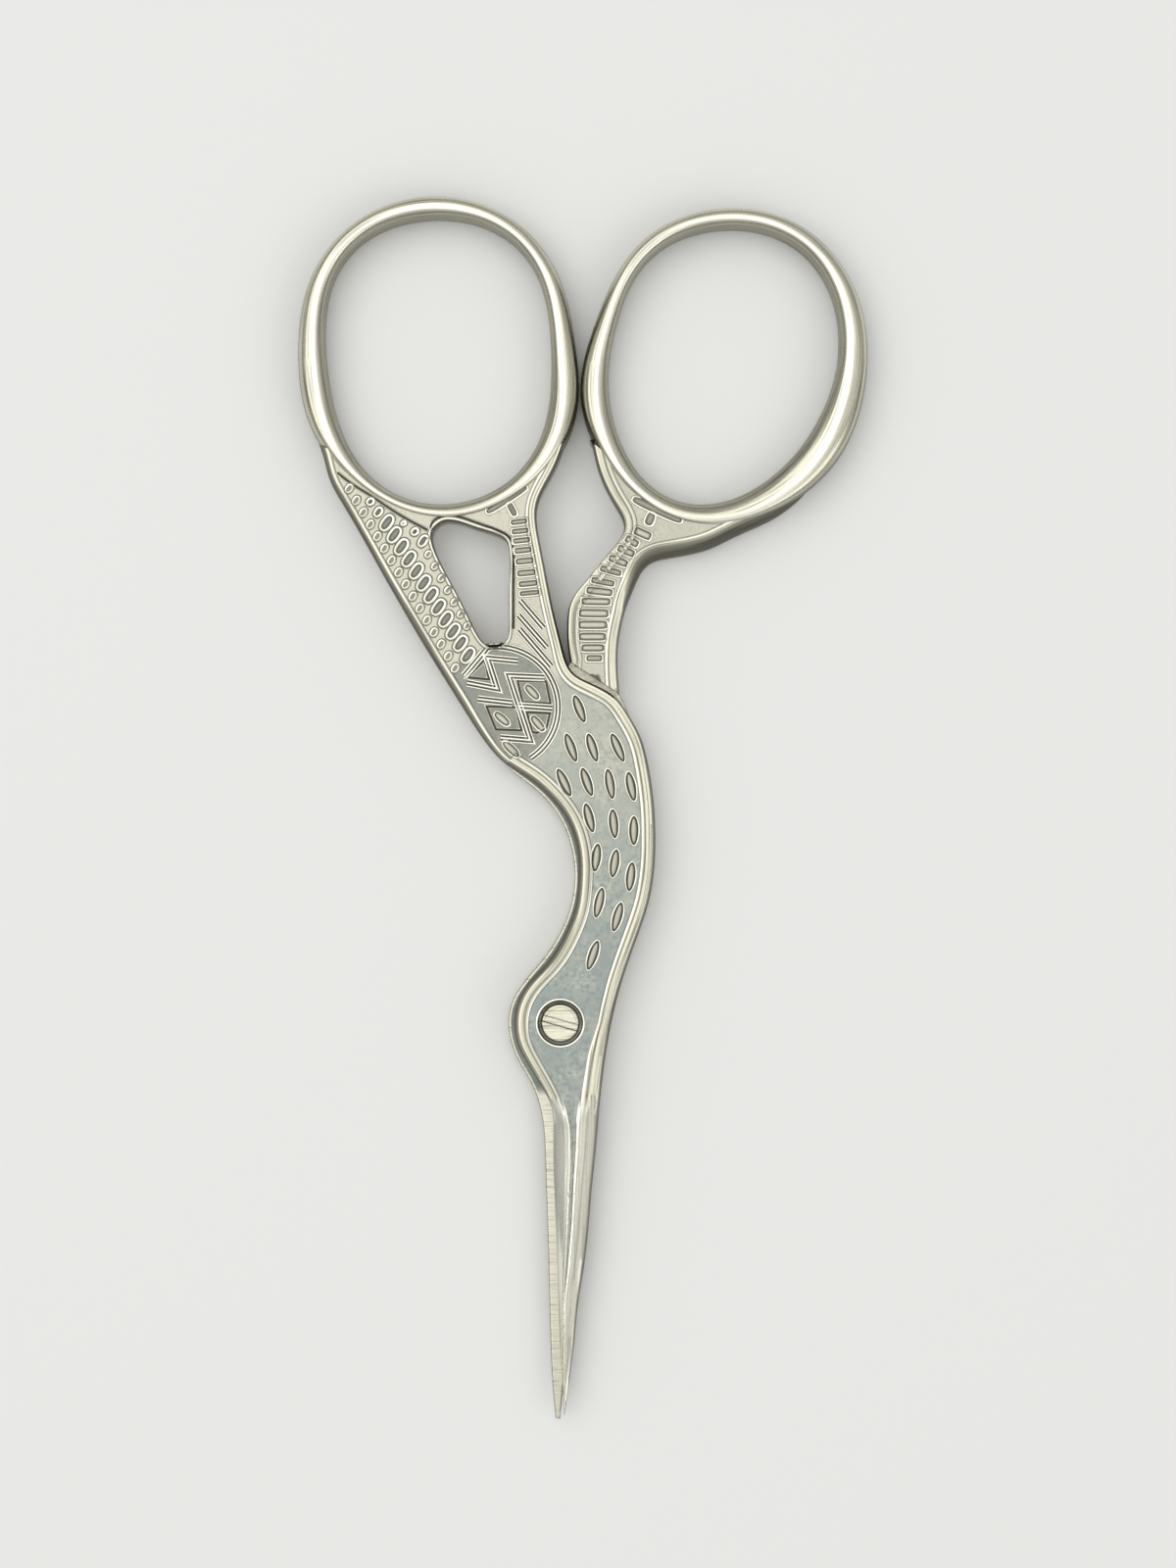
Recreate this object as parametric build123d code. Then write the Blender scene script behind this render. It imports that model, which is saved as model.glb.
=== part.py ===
"""Stork embroidery scissors, closed and lying flat, modelled in millimetres.

The bird lies face up: its beak is the pair of blades, its head holds the pivot screw, and its legs
and tail run up into two oval finger bows. Two half-lapped steel halves turn on one slotted screw.
The origin is on the pivot axis, on the surface that the scissors lie on. +X is to the right of the
bird seen from above, +Y runs from the tips to the bows, and +Z is up.
"""

import os
from math import cos, radians, sin

from build123d import *

# Lengths along the scissors
blade_length = 37.6  # pivot to the tips
body_length = 32.9  # pivot to the shoulder where the front leg leaves the body
leg_length = 15.7  # shoulder to the foot of the finger holes

# Widths of the bird, measured from the pivot line
breast_reach = 8.8  # to the outermost point of the breast
head_radius = 4.4  # to the back of the head
leg_reach = 5.3  # to the outer side of the rear knee
heel_width = 4.0  # of one blade where it leaves the head

# Thickness
bow_thickness = 4.0  # finger bows
plate_thickness = 3.8  # legs, tail and lapped body together
lap_gap = 0.04  # running gap between the two lapped faces
shoulder_gap = 0.55  # gap between the end of one lap and the other half
rim_radius = 0.75  # rounding of the edges that are seen
back_rim_radius = 0.4  # rounding of the edges that lie on the table

# Finger bows
front_hole_width = 21.2
front_hole_height = 27.0
rear_hole_width = 21.75
rear_hole_height = 25.9
band_inner = 2.6  # band width on the side that faces the other bow
front_band_outer = 2.6  # band width on the far side of the front bow
rear_band_outer = 2.8  # band width on the far side of the rear bow
band_end = 2.1  # band width at the top and the foot of a bow
bow_contact_x = 1.75  # where the two bows nearly meet, right of the pivot line
bow_gap = 0.2  # left between the closed bows
bow_rounding = 0.8  # how far the bands draw in toward their upper and lower faces
bow_section_turns = (-90, -60, -30, 0, 30, 60, 90)  # degrees round the rounded sides of a band
core_share = 0.45  # how far across its band a bow takes over from the plate

# Gap between the front leg and the tail
leg_gap_radius = 0.9  # rounding of its corners
front_leg_width = 2.65  # at the top of the gap
tail_width = 5.05  # at the top of the gap
gap_foot_width = 2.28  # of the gap itself, at its foot

# Blade section heights from the lapped face
blade_heel_height = 1.75
blade_tip_height = 0.75
edge_heel_height = 0.35
edge_tip_height = 0.15
spine_heel_height = 1.1
spine_tip_height = 0.4

# Pivot screw and its seat
screw_head_radius = 1.78
screw_head_height = 0.8
seat_radius = 2.25
seat_depth = 0.9
screw_shoulder_radius = 1.25
screw_thread_radius = 0.9
running_clearance = 0.03  # between the shoulder and the front half's bore
thread_clearance = 0.01  # between the thread and the rear half's hole
slot_width = 0.55
slot_depth = 0.35
slot_angle = -17
screw_edge_chamfer = 0.15
overrun = 1.0  # how far a cut runs past what it cuts

# Outlines of the finger holes, anticlockwise, in shares of their half width and half height
front_hole_shares = [
    (-1.0, 0.17), (-0.94, -0.24), (-0.79, -0.57), (-0.57, -0.79), (-0.27, -0.95), (0.05, -1.0),
    (0.47, -0.91), (0.8, -0.68), (0.95, -0.41), (1.0, -0.08), (0.975, 0.31), (0.86, 0.6),
    (0.64, 0.82), (0.36, 0.95), (0.0, 1.0), (-0.4, 0.95), (-0.7, 0.8), (-0.91, 0.54),
]
rear_hole_shares = [
    (-1.0, -0.14), (-0.93, -0.5), (-0.8, -0.73), (-0.57, -0.9), (-0.15, -1.0), (0.385, -0.91),
    (0.63, -0.75), (0.86, -0.46), (0.97, -0.17), (1.0, 0.1), (0.985, 0.3), (0.895, 0.56),
    (0.74, 0.76), (0.5, 0.91), (0.07, 1.0), (-0.3, 0.95), (-0.57, 0.8), (-0.8, 0.53), (-0.94, 0.22),
]

# Outer outlines of the bands, in shares of their own half width and half height
front_rim_shares = [
    (-1, 0.08), (-0.972, -0.186), (-0.899, -0.428), (-0.777, -0.65), (-0.527, -0.86), (-0.182, -0.99),
    (0.212, -0.985), (0.577, -0.86), (0.834, -0.64), (0.966, -0.423), (1, -0.17), (0.985, 0.08),
    (0.938, 0.288), (0.834, 0.52), (0.665, 0.735), (0.508, 0.88), (0.281, 0.972), (0.015, 1),
    (-0.28, 0.955), (-0.576, 0.84), (-0.785, 0.67), (-0.93, 0.43),
]
rear_rim_shares = [
    (-1, -0.15), (-0.963, -0.402), (-0.861, -0.66), (-0.623, -0.87), (-0.256, -1), (0.092, -0.975),
    (0.35, -0.9), (0.605, -0.767), (0.741, -0.645), (0.89, -0.401), (0.978, -0.156), (0.998, 0.1),
    (0.968, 0.336), (0.856, 0.575), (0.687, 0.765), (0.419, 0.93), (0.092, 1), (-0.256, 0.955),
    (-0.533, 0.82), (-0.75, 0.575), (-0.906, 0.26),
]

# Points of the body, in shares of breast reach and body length
breast_shares = [
    (0.585, 0.052), (0.717, 0.178), (0.865, 0.301), (0.961, 0.401), (1.0, 0.54), (0.987, 0.656),
    (0.92, 0.762), (0.857, 0.818), (0.711, 0.885), (0.6375, 0.921), (0.533, 0.944), (0.278, 0.979),
    (0.125, 1.0),
]
belly_shares = [
    (-0.64, 0.739), (-0.52, 0.722), (-0.263, 0.679), (-0.053, 0.623), (0.116, 0.553),
    (0.182, 0.475), (0.189, 0.4), (0.147, 0.316), (0.063, 0.261), (-0.042, 0.205), (-0.221, 0.149),
]
rear_breast_shares = [
    (0.491, 0.052), (0.627, 0.178), (0.784, 0.3), (0.888, 0.401), (0.943, 0.56), (0.93, 0.656),
    (0.826, 0.806), (0.69, 0.909),
]
rear_belly_shares = [
    (-0.293, 0.669), (-0.094, 0.617), (0.042, 0.558), (0.125, 0.482),
    (0.154, 0.401), (0.115, 0.323), (0.06, 0.283), (-0.03, 0.232), (-0.17, 0.172),
]
lap_start_share = (-0.57, 0.725)  # foot of the lapped shoulder, on the belly
lap_end_share = (0.063, 1.018)  # top of the lapped shoulder, in the crook of the front leg

# Points of the head, in shares of head radius
head_left_shares = [
    (-0.648, 0.909), (-0.909, 0.491), (-1.0, 0.0), (-0.9, -0.555), (-0.523, -1.182), (-0.273, -1.58),
]
head_right_shares = [(0.857, -1.327), (1.005, -0.534)]
rear_head_left_shares = [
    (-0.711, 0.92), (-1.014, 0.482), (-1.13, -0.01), (-1.045, -0.534), (-0.816, -0.993),
    (-0.6, -1.4), (-0.45, -1.8),
]
rear_head_right_shares = [(0.6, -1.327), (0.795, -0.534)]

# Points of the legs, in shares of leg reach and, above the shoulder, of leg length
front_leg_shares = [
    (0.1, 0.04), (-0.01, 0.204), (-0.14, 0.392), (-0.287, 0.643), (-0.4, 0.854), (-0.434, 1.013),
]
rear_leg_left_shares = [
    (0.86, 1.02), (1.075, 0.93), (1.13, 0.87), (1.03, 0.8), (0.75, 0.67), (0.487, 0.567),
    (0.226, 0.459), (0.14, 0.375), (0.121, 0.293), (0.14, 0.146),
]
rear_leg_right_shares = [
    (1.0, -0.07), (1.005, 0.0), (1.024, 0.093), (1.042, 0.21), (1.094, 0.298), (1.163, 0.386), (1.3, 0.503),
]

# Points near the outer ovals of the bows, in shares of their half width and half height
tail_root_shares = [
    (-0.944, -0.304), (-0.899, -0.428), (-0.843, -0.551), (-0.777, -0.728), (-0.693, -0.852),
]
front_leg_root_shares = [
    (0.76, -0.776), (0.838, -0.6), (0.911, -0.48),
]
rear_leg_root_shares = [
    (-0.95, -0.37), (-0.901, -0.57), (-0.831, -0.714),
]
rear_arm_shares = [
    (-0.526, -1.213), (-0.442, -1.187), (-0.343, -1.177), (-0.17, -1.145), (-0.022, -1.095), (0.138, -1.023),
    (0.297, -0.958), (0.436, -0.883), (0.568, -0.785),
]

# Corners of the leg gap: shares of the way down the tail, and of leg length above the shoulder
gap_tail_shares = (0.2, 0.64)
gap_top_share = 0.8
gap_foot_share = 0.14

# The tail's outer edge is straight between these shares of its length
tail_edge_shares = (0.15, 0.5, 0.85)

# Blade stations: share of blade length, then left edge, ridge and right edge in shares of heel width
front_blade_shares = [
    (0.25, -0.16, 0.3, 0.86), (0.43, -0.14, 0.25, 0.69), (0.6, -0.095, 0.2, 0.56),
    (0.755, -0.03, 0.16, 0.38), (0.89, 0.02, 0.11, 0.21), (0.992, 0.0, 0.02, 0.06),
]
rear_blade_shares = [
    (0.25, -0.395, 0.1, 0.6), (0.43, -0.34, 0.06, 0.5), (0.6, -0.3, 0.03, 0.36),
    (0.755, -0.255, -0.01, 0.22), (0.89, -0.205, -0.04, 0.11), (1.0, -0.07, -0.03, 0.0),
]
heel_share = 0.27  # of blade length, where the head ends and the blade goes on alone

lap_height = plate_thickness / 2
front_lap_z = lap_height + lap_gap / 2
rear_lap_z = lap_height - lap_gap / 2
reach = breast_reach + front_hole_width + rear_hole_width  # more than the part's half width


def placed(shares, width, height, x=0.0, y=0.0):
    """Points of a share table at real size."""
    return [(x + across * width, y + along * height) for across, along in shares]


def toward(start, end, share):
    """The point a share of the way from start to end."""
    return tuple(a + (b - a) * share for a, b in zip(start, end))


def shifted(start, end, distance):
    """Both points moved square to their line, to its right."""
    run = Vector(*end) - Vector(*start)
    step = Vector(run.Y, -run.X).normalized() * distance
    return [(x + step.X, y + step.Y) for x, y in (start, end)]


def on_body(shares):
    """Points of the body."""
    return placed(shares, breast_reach, body_length)


def on_head(shares):
    """Points of the head."""
    return placed(shares, head_radius, head_radius)


def on_leg(shares):
    """Points of a leg."""
    return placed(shares, leg_reach, leg_length, y=body_length)


class Bow:
    """One finger bow: its hole, its band and the solid ring between them."""

    def __init__(self, side, hole_shares, rim_shares, hole_width, hole_height, band_outer):
        self.hole_shares = hole_shares
        self.rim_shares = rim_shares
        self.half_width = hole_width / 2
        self.half_height = hole_height / 2
        self.x = bow_contact_x + side * (bow_gap / 2 + band_inner + self.half_width)
        self.y = body_length + leg_length + self.half_height
        self.band = (band_inner + band_outer) / 2
        self.shift = side * (band_outer - band_inner) / 2

    def hole(self, grown=0.0):
        """Face of the finger hole, or of one that is larger all round."""
        half_width = self.half_width + grown
        half_height = self.half_height + grown
        points = placed(self.hole_shares, half_width, half_height, self.x, self.y)
        return make_face(Spline(points, periodic=True))

    def oval(self, across=1.0):
        """Face inside the outer outline, or inside one drawn in across the band."""
        half_width = self.half_width + across * self.band
        half_height = self.half_height + across * band_end
        points = placed(self.rim_shares, half_width, half_height, self.x + self.shift, self.y)
        return make_face(Spline(points, periodic=True))

    def on_rim(self, shares):
        """Points placed in shares of the outer outline."""
        half_width = self.half_width + self.band
        half_height = self.half_height + band_end
        return placed(shares, half_width, half_height, self.x + self.shift, self.y)

    def ring(self):
        """The band at full thickness, rounded across so that it is narrower above and below."""
        outside = []
        inside = []
        for turn in bow_section_turns:
            z = bow_thickness / 2 * (1 + sin(radians(turn)))
            inset = bow_rounding * (1 - cos(radians(turn)))
            outside.append(Pos(0, 0, z) * self.oval(1 - inset / self.band))
            inside.append(Pos(0, 0, z) * self.hole(inset))
        return loft(outside) - loft(inside)

    def core(self):
        """What lies inside the middle of the band, for cutting a plate that meets it."""
        return Pos(0, 0, -overrun) * extrude(self.oval(core_share), bow_thickness + 2 * overrun)


front_bow = Bow(-1, front_hole_shares, front_rim_shares, front_hole_width, front_hole_height, front_band_outer)
rear_bow = Bow(1, rear_hole_shares, rear_rim_shares, rear_hole_width, rear_hole_height, rear_band_outer)
lap_start = on_body([lap_start_share])[0]
lap_end = on_body([lap_end_share])[0]
rear_lap_start, rear_lap_end = shifted(lap_end, lap_start, -shoulder_gap)[::-1]


def worn_edges(face):
    """The edges of a plate's face that get rounded: its curves and its holes, not its straight ends."""
    edges = face.outer_wire().edges().filter_by(GeomType.LINE, reverse=True)
    for wire in face.inner_wires():
        edges += wire.edges()
    return edges


def plate(outline, hole=None):
    """A flat plate with rounded upper and lower edges."""
    face = make_face(outline)
    if hole:
        face -= hole
    solid = extrude(face, plate_thickness)
    solid = fillet(worn_edges(solid.faces().sort_by(Axis.Z)[-1]), rim_radius)
    return fillet(worn_edges(solid.faces().sort_by(Axis.Z)[0]), back_rim_radius)


def blade(table, lap_z, up):
    """A blade that tapers to its tip: a flat lapped face, a bevel to the edge and a lower spine."""
    sections = []
    for along, left, ridge, right in table:
        taper = (along - table[0][0]) / (table[-1][0] - table[0][0])
        height = blade_heel_height + (blade_tip_height - blade_heel_height) * taper
        edge = edge_heel_height + (edge_tip_height - edge_heel_height) * taper
        spine = spine_heel_height + (spine_tip_height - spine_heel_height) * taper
        low_left, low_right = (edge, spine) if up > 0 else (spine, edge)
        corners = [(left, 0), (left, low_left), (ridge, height), (right, low_right), (right, 0)]
        points = [(x * heel_width, -along * blade_length, lap_z + up * z) for x, z in corners]
        sections.append(make_face(Polyline(*points, close=True)))
    return loft(sections, ruled=True)


def prism(points, low_z, high_z):
    """A prism over a polygon, between two heights."""
    return Pos(0, 0, low_z) * extrude(make_face(Polyline(*points, close=True)), high_z - low_z)


def leg_gap(tail_top):
    """Face of the open triangle between the front leg and the tail."""
    high, low = [toward(tail_top, lap_start, share) for share in gap_tail_shares]
    top_left = shifted(high, low, -tail_width)[0]
    right_x = on_leg([front_leg_shares[-2]])[0][0] - front_leg_width
    foot_y = body_length + gap_foot_share * leg_length
    top_y = body_length + gap_top_share * leg_length
    corners = [top_left, (right_x - gap_foot_width, foot_y), (right_x, foot_y), (right_x, top_y)]
    face = make_face(Polyline(*corners, close=True))
    return fillet(face.vertices(), leg_gap_radius)


def heel(table):
    """Where the outline of a head meets its blade: left and right, at the heel and just past it."""
    heel_y = -heel_share * blade_length
    left, right = table[0][1] * heel_width, table[0][3] * heel_width
    past_y = heel_y - 2 * rim_radius
    return [(left, heel_y), (left, past_y)], [(right, past_y), (right, heel_y)]


def cut_heel(solid):
    """Cut the head square at the heel."""
    heel_y = -heel_share * blade_length
    far_y = -blade_length - overrun
    corners = [(-reach, heel_y), (reach, heel_y), (reach, far_y), (-reach, far_y)]
    return solid - prism(corners, -overrun, plate_thickness + overrun)


def front_half():
    """The half with the left bow, the tail, the upper body and the front blade."""
    left_heel, right_heel = heel(front_blade_shares)
    right_side = right_heel + on_head(head_right_shares) + on_body(breast_shares)
    right_side += on_leg(front_leg_shares) + front_bow.on_rim(front_leg_root_shares)
    root = front_bow.on_rim(tail_root_shares)
    belly = on_body(belly_shares)
    tail_edge = [toward(root[-1], belly[0], share) for share in tail_edge_shares]
    left_side = root + tail_edge + belly + on_head(head_left_shares) + left_heel
    outline = [
        Spline(*right_side),
        Line(right_side[-1], left_side[0]),
        Spline(*left_side),
        Line(left_side[-1], right_side[0]),
    ]
    solid = cut_heel(plate(outline, leg_gap(root[-1]))) - front_bow.core()
    low_start = toward(lap_end, lap_start, 1 + overrun / breast_reach)
    far_y = -blade_length - overrun
    under = [low_start, lap_end, (reach, lap_end[1]), (reach, far_y), (-reach, far_y), (-reach, low_start[1])]
    solid -= prism(under, -overrun, front_lap_z)
    solid += blade(front_blade_shares, front_lap_z, 1)
    solid += front_bow.ring()
    solid -= Pos(0, 0, plate_thickness - seat_depth) * column(seat_radius, seat_depth + overrun)
    return solid - column(screw_shoulder_radius + running_clearance, plate_thickness)


def rear_half():
    """The half with the right bow, the lower body and the rear blade."""
    left_heel, right_heel = heel(rear_blade_shares)
    right_side = right_heel + on_head(rear_head_right_shares) + on_body(rear_breast_shares)
    right_side += on_leg(rear_leg_right_shares) + rear_bow.on_rim(rear_arm_shares)
    leg_side = rear_bow.on_rim(rear_leg_root_shares) + on_leg(rear_leg_left_shares) + [rear_lap_end]
    left_side = [rear_lap_start] + on_body(rear_belly_shares) + on_head(rear_head_left_shares) + left_heel
    outline = [
        Spline(*right_side),
        Line(right_side[-1], leg_side[0]),
        Spline(*leg_side),
        Line(leg_side[-1], left_side[0]),
        Spline(*left_side),
        Line(left_side[-1], right_side[0]),
    ]
    solid = cut_heel(plate(outline)) - rear_bow.core()
    inner, outer = shifted(on_body([breast_shares[-1]])[0], on_body([breast_shares[-4]])[0], -shoulder_gap)
    far_y = -blade_length - overrun
    over = [toward(outer, inner, reach / head_radius), toward(inner, outer, reach / head_radius)]
    over += [(reach, far_y), (-reach, far_y)]
    solid -= prism(over, rear_lap_z, plate_thickness + overrun)
    solid += blade(rear_blade_shares, rear_lap_z, -1)
    solid += rear_bow.ring()
    return solid - column(screw_thread_radius + thread_clearance, plate_thickness)


def column(radius, height):
    """A round bar on the pivot axis, standing on the plane z = 0."""
    return extrude(Circle(radius), height)


def pivot_screw():
    """Slotted screw: thread in the rear half, shoulder through the front half, flat head in its seat."""
    head_z = plate_thickness - seat_depth + lap_gap
    head = Pos(0, 0, head_z) * column(screw_head_radius, screw_head_height)
    head = chamfer(head.edges().group_by(Axis.Z)[-1], screw_edge_chamfer)
    slot = Box(2 * screw_head_radius + overrun, slot_width, 2 * slot_depth)
    head -= Pos(0, 0, head_z + screw_head_height) * Rot(0, 0, slot_angle) * slot
    shoulder = Pos(0, 0, rear_lap_z) * column(screw_shoulder_radius, head_z - rear_lap_z)
    return head + shoulder + column(screw_thread_radius, rear_lap_z)


os.makedirs("parts", exist_ok=True)
for name, make in (("front_half", front_half), ("rear_half", rear_half), ("pivot_screw", pivot_screw)):
    export_step(make(), f"parts/{name}.step")
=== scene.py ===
"""Looks of the stork embroidery scissors: two dressed steel halves, their ornament and the pivot screw.

Lengths are in millimetres until a mesh is made, with the origin on the pivot axis at the resting plane,
+Y towards the finger bows and +Z up. Outlines are places in the photograph, in pixels, which PhotoScale
turns into millimetres.
"""

import logging
import math
from dataclasses import dataclass, field
from enum import Enum

import bpy
import numpy as np
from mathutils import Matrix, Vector
from mathutils.geometry import delaunay_2d_cdt

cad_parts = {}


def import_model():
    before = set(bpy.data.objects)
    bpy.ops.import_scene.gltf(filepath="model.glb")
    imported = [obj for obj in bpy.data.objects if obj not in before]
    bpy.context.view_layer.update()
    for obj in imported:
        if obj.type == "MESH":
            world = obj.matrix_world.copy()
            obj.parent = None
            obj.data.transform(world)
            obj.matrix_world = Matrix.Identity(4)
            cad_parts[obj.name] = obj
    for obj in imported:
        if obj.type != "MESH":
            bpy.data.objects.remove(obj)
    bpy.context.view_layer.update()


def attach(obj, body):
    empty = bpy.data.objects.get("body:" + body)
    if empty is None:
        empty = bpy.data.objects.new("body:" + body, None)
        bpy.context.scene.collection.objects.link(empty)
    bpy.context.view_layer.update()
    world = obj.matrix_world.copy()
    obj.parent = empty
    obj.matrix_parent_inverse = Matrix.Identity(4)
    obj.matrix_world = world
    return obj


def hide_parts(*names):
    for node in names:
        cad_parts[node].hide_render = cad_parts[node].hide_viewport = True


log = logging.getLogger("scissors")

MM = 0.001
# Each vertex carries polish; oxide, the darkening for oxide in the cuts and for painted shade on sides, walls
# and undersides; warm; bright, a painted highlight; and places along and across for fine lines.
VALUE_NAMES = ("polish", "oxide", "warm", "bright", "along", "across")
NEAR_OUTLINE = 0.015  # inner points nearer than this to an outline are left out
MERGED = 1e-5  # points nearer than this to each other are one point
NO_AREA = 1e-9  # triangles smaller than this are left out
ROW_SLACK = 0.012  # points of a row may lie this much nearer to another rim
LATTICE_GAP = 0.3  # room between a rim's slope and the lattice inside it
THINNEST = 0.02  # least thickness of a plate


class Body(Enum):
    """The two bodies of the scissors."""

    FRONT = "front"
    REAR = "rear"


@dataclass(frozen=True)
class PhotoScale:
    """Turns a place in the photograph, in pixels, into millimetres on the scissors."""

    pivot_x: float = 572.0
    pivot_y: float = 1043.5
    mm_per_pixel: float = 0.092

    def mm(self, points: tuple | list | np.ndarray) -> np.ndarray:
        """Pixel places as millimetres, x to the right and y up the picture.

        Args:
            points: Rows of x and y in pixels.

        Returns:
            An array of the same shape, in millimetres.
        """
        places = np.asarray(points, dtype=float).reshape(-1, 2)
        return (places - (self.pivot_x, self.pivot_y)) * (self.mm_per_pixel, -self.mm_per_pixel)


PHOTO = PhotoScale()


def smoothstep(values: np.ndarray, start: float, end: float) -> np.ndarray:
    """Rises smoothly from 0 at start to 1 at end.

    Args:
        values: The values.
        start: Where the rise starts.
        end: Where it ends.

    Returns:
        The values carried to 0 to 1.
    """
    share = np.clip((values - start) / (end - start), 0, 1)
    return share * share * (3 - 2 * share)


def peak(values: np.ndarray, middle: float | np.ndarray, width: float) -> np.ndarray:
    """A bell curve: 1 at the middle, falling by the square of the distance from it over the width."""
    return np.exp(-(((values - middle) / width) ** 2))


def spline(points: np.ndarray, spacing: float = 0.22, closed: bool = False) -> np.ndarray:
    """A cubic spline through points, with chord length as its parameter, resampled evenly.

    The second derivatives solve the usual three-term equations, with none at the two ends. A closed
    curve repeats a few of its points past both ends, which makes the seam smooth.

    Args:
        points: Rows of x and y.
        spacing: Distance between the new points.
        closed: Whether the curve returns to its first point.

    Returns:
        The new points; a closed curve doesn't repeat its first point.
    """
    points = np.asarray(points, dtype=float)
    wrap = min(6, len(points)) if closed else 0
    if closed:
        points = np.vstack([points[-wrap:], points, points[: wrap + 1]])
    step = np.linalg.norm(np.diff(points, axis=0), axis=1)
    knots = np.concatenate([[0], np.cumsum(step)])
    count = len(points)
    matrix = np.eye(count)
    right = np.zeros((count, 2))
    rows = np.arange(1, count - 1)
    matrix[rows, rows - 1] = step[:-1]
    matrix[rows, rows] = 2 * (step[:-1] + step[1:])
    matrix[rows, rows + 1] = step[1:]
    slope = np.diff(points, axis=0) / step[:, None]
    right[1:-1] = 6 * np.diff(slope, axis=0)
    bend = np.linalg.solve(matrix, right)
    start, end = knots[wrap], knots[count - 1 - wrap]
    number = max(int(round((end - start) / spacing)), 2)
    places = np.linspace(start, end, number + 1)
    if closed:
        places = places[:-1]
    span = np.clip(np.searchsorted(knots, places, side="right") - 1, 0, count - 2)
    width = step[span][:, None]
    ahead = (knots[span + 1] - places)[:, None]
    behind = (places - knots[span])[:, None]
    cubic = (bend[span] * ahead**3 + bend[span + 1] * behind**3) / (6 * width)
    left_part = (points[span] / width - bend[span] * width / 6) * ahead
    right_part = (points[span + 1] / width - bend[span + 1] * width / 6) * behind
    return cubic + left_part + right_part


def eased(points: np.ndarray, passes: int = 24) -> np.ndarray:
    """An open path with its small waves taken out, by repeated averages of each three points in a row.

    Args:
        points: Rows of x and y along the path.
        passes: How many times they are averaged.

    Returns:
        The eased path, with its two ends where they were.
    """
    points = points.copy()
    for _ in range(passes):
        points[1:-1] = (points[:-2] + 2 * points[1:-1] + points[2:]) / 4
    return points


def straight(points: np.ndarray, spacing: float = 0.22) -> np.ndarray:
    """Points spaced evenly along the straight runs between corners, with every corner kept.

    Args:
        points: The corners.
        spacing: Largest distance between the new points.

    Returns:
        The new points, corners included.
    """
    points = np.asarray(points, dtype=float)
    runs = []
    for start, end in zip(points[:-1], points[1:]):
        number = max(int(math.ceil(np.linalg.norm(end - start) / spacing)), 1)
        runs.append(start + (end - start) * np.linspace(0, 1, number, endpoint=False)[:, None])
    return np.vstack(runs + [points[-1:]])


def joined(*runs: np.ndarray) -> np.ndarray:
    """Runs of points as one closed loop, with repeated points at the joins dropped.

    Args:
        *runs: Rows of x and y, in order round the loop.

    Returns:
        The loop, which doesn't repeat its first point.
    """
    loop = np.vstack(runs)
    keep = np.linalg.norm(loop - np.roll(loop, 1, axis=0), axis=1) > 1e-4
    return loop[keep]


def normals(path: np.ndarray, closed: bool) -> np.ndarray:
    """Unit vectors square to a path, on its left side.

    Args:
        path: Rows of x and y.
        closed: Whether the path is a loop.

    Returns:
        One unit vector for each point.
    """
    if closed:
        run = np.roll(path, -1, axis=0) - np.roll(path, 1, axis=0)
    else:
        run = np.gradient(path, axis=0)
    run /= np.linalg.norm(run, axis=1)[:, None]
    return np.column_stack([-run[:, 1], run[:, 0]])


@dataclass(frozen=True)
class Nearness:
    """How far points lie from a path, and how far along it."""

    distance: np.ndarray
    along: np.ndarray


def near(points: np.ndarray, path: np.ndarray, block: int = 4000) -> Nearness:
    """Distance to the nearest point of a path's straight segments, and the path length there.

    Args:
        points: Rows of x and y.
        path: Rows of x and y along an open path.
        block: Number of points worked out at a time.

    Returns:
        The distances and lengths along the path.
    """
    start = path[:-1]
    run = path[1:] - start
    length = np.linalg.norm(run, axis=1)
    offset = np.concatenate([[0], np.cumsum(length)[:-1]])
    distance = np.empty(len(points))
    along = np.empty(len(points))
    for first in range(0, len(points), block):
        part = points[first:first + block]
        away = part[:, None, :] - start[None]
        share = np.clip((away * run).sum(-1) / (length**2), 0, 1)
        gap = np.linalg.norm(away - share[..., None] * run, axis=-1)
        best = gap.argmin(axis=1)
        rows = np.arange(len(part))
        distance[first:first + block] = gap[rows, best]
        along[first:first + block] = offset[best] + share[rows, best] * length[best]
    return Nearness(distance, along)


def signed_power(values: np.ndarray, power: float) -> np.ndarray:
    """Values raised to a power with their signs kept."""
    return np.sign(values) * np.abs(values) ** power


def interpolated(values: np.ndarray, table: tuple) -> np.ndarray:
    """A table's second column at values of its first, in straight runs between its rows."""
    return np.interp(values, *np.transpose(table))


def tapered(ends: tuple, share: np.ndarray) -> np.ndarray:
    """A size that goes evenly from its first value to its second."""
    return ends[0] + (ends[1] - ends[0]) * share


def ring_path(loop: np.ndarray) -> np.ndarray:
    """A closed loop as an open path that ends where it starts."""
    return np.vstack([loop, loop[:1]])


def within(points: np.ndarray, loop: np.ndarray, block: int = 20000) -> np.ndarray:
    """Whether points lie inside a closed loop, by counting the crossings to their right.

    Args:
        points: Rows of x and y.
        loop: The closed loop.
        block: Number of points worked out at a time.

    Returns:
        True for each point inside.
    """
    x1, y1 = loop[:, 0], loop[:, 1]
    x2, y2 = np.roll(x1, -1), np.roll(y1, -1)
    result = np.zeros(len(points), dtype=bool)
    for first in range(0, len(points), block):
        px, py = points[first:first + block, 0:1], points[first:first + block, 1:2]
        spans = (y1 > py) != (y2 > py)
        with np.errstate(divide="ignore", invalid="ignore"):
            crossing = (x2 - x1) * (py - y1) / (y2 - y1) + x1
        result[first:first + block] = (spans & (px < crossing)).sum(axis=1) % 2 == 1
    return result


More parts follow.
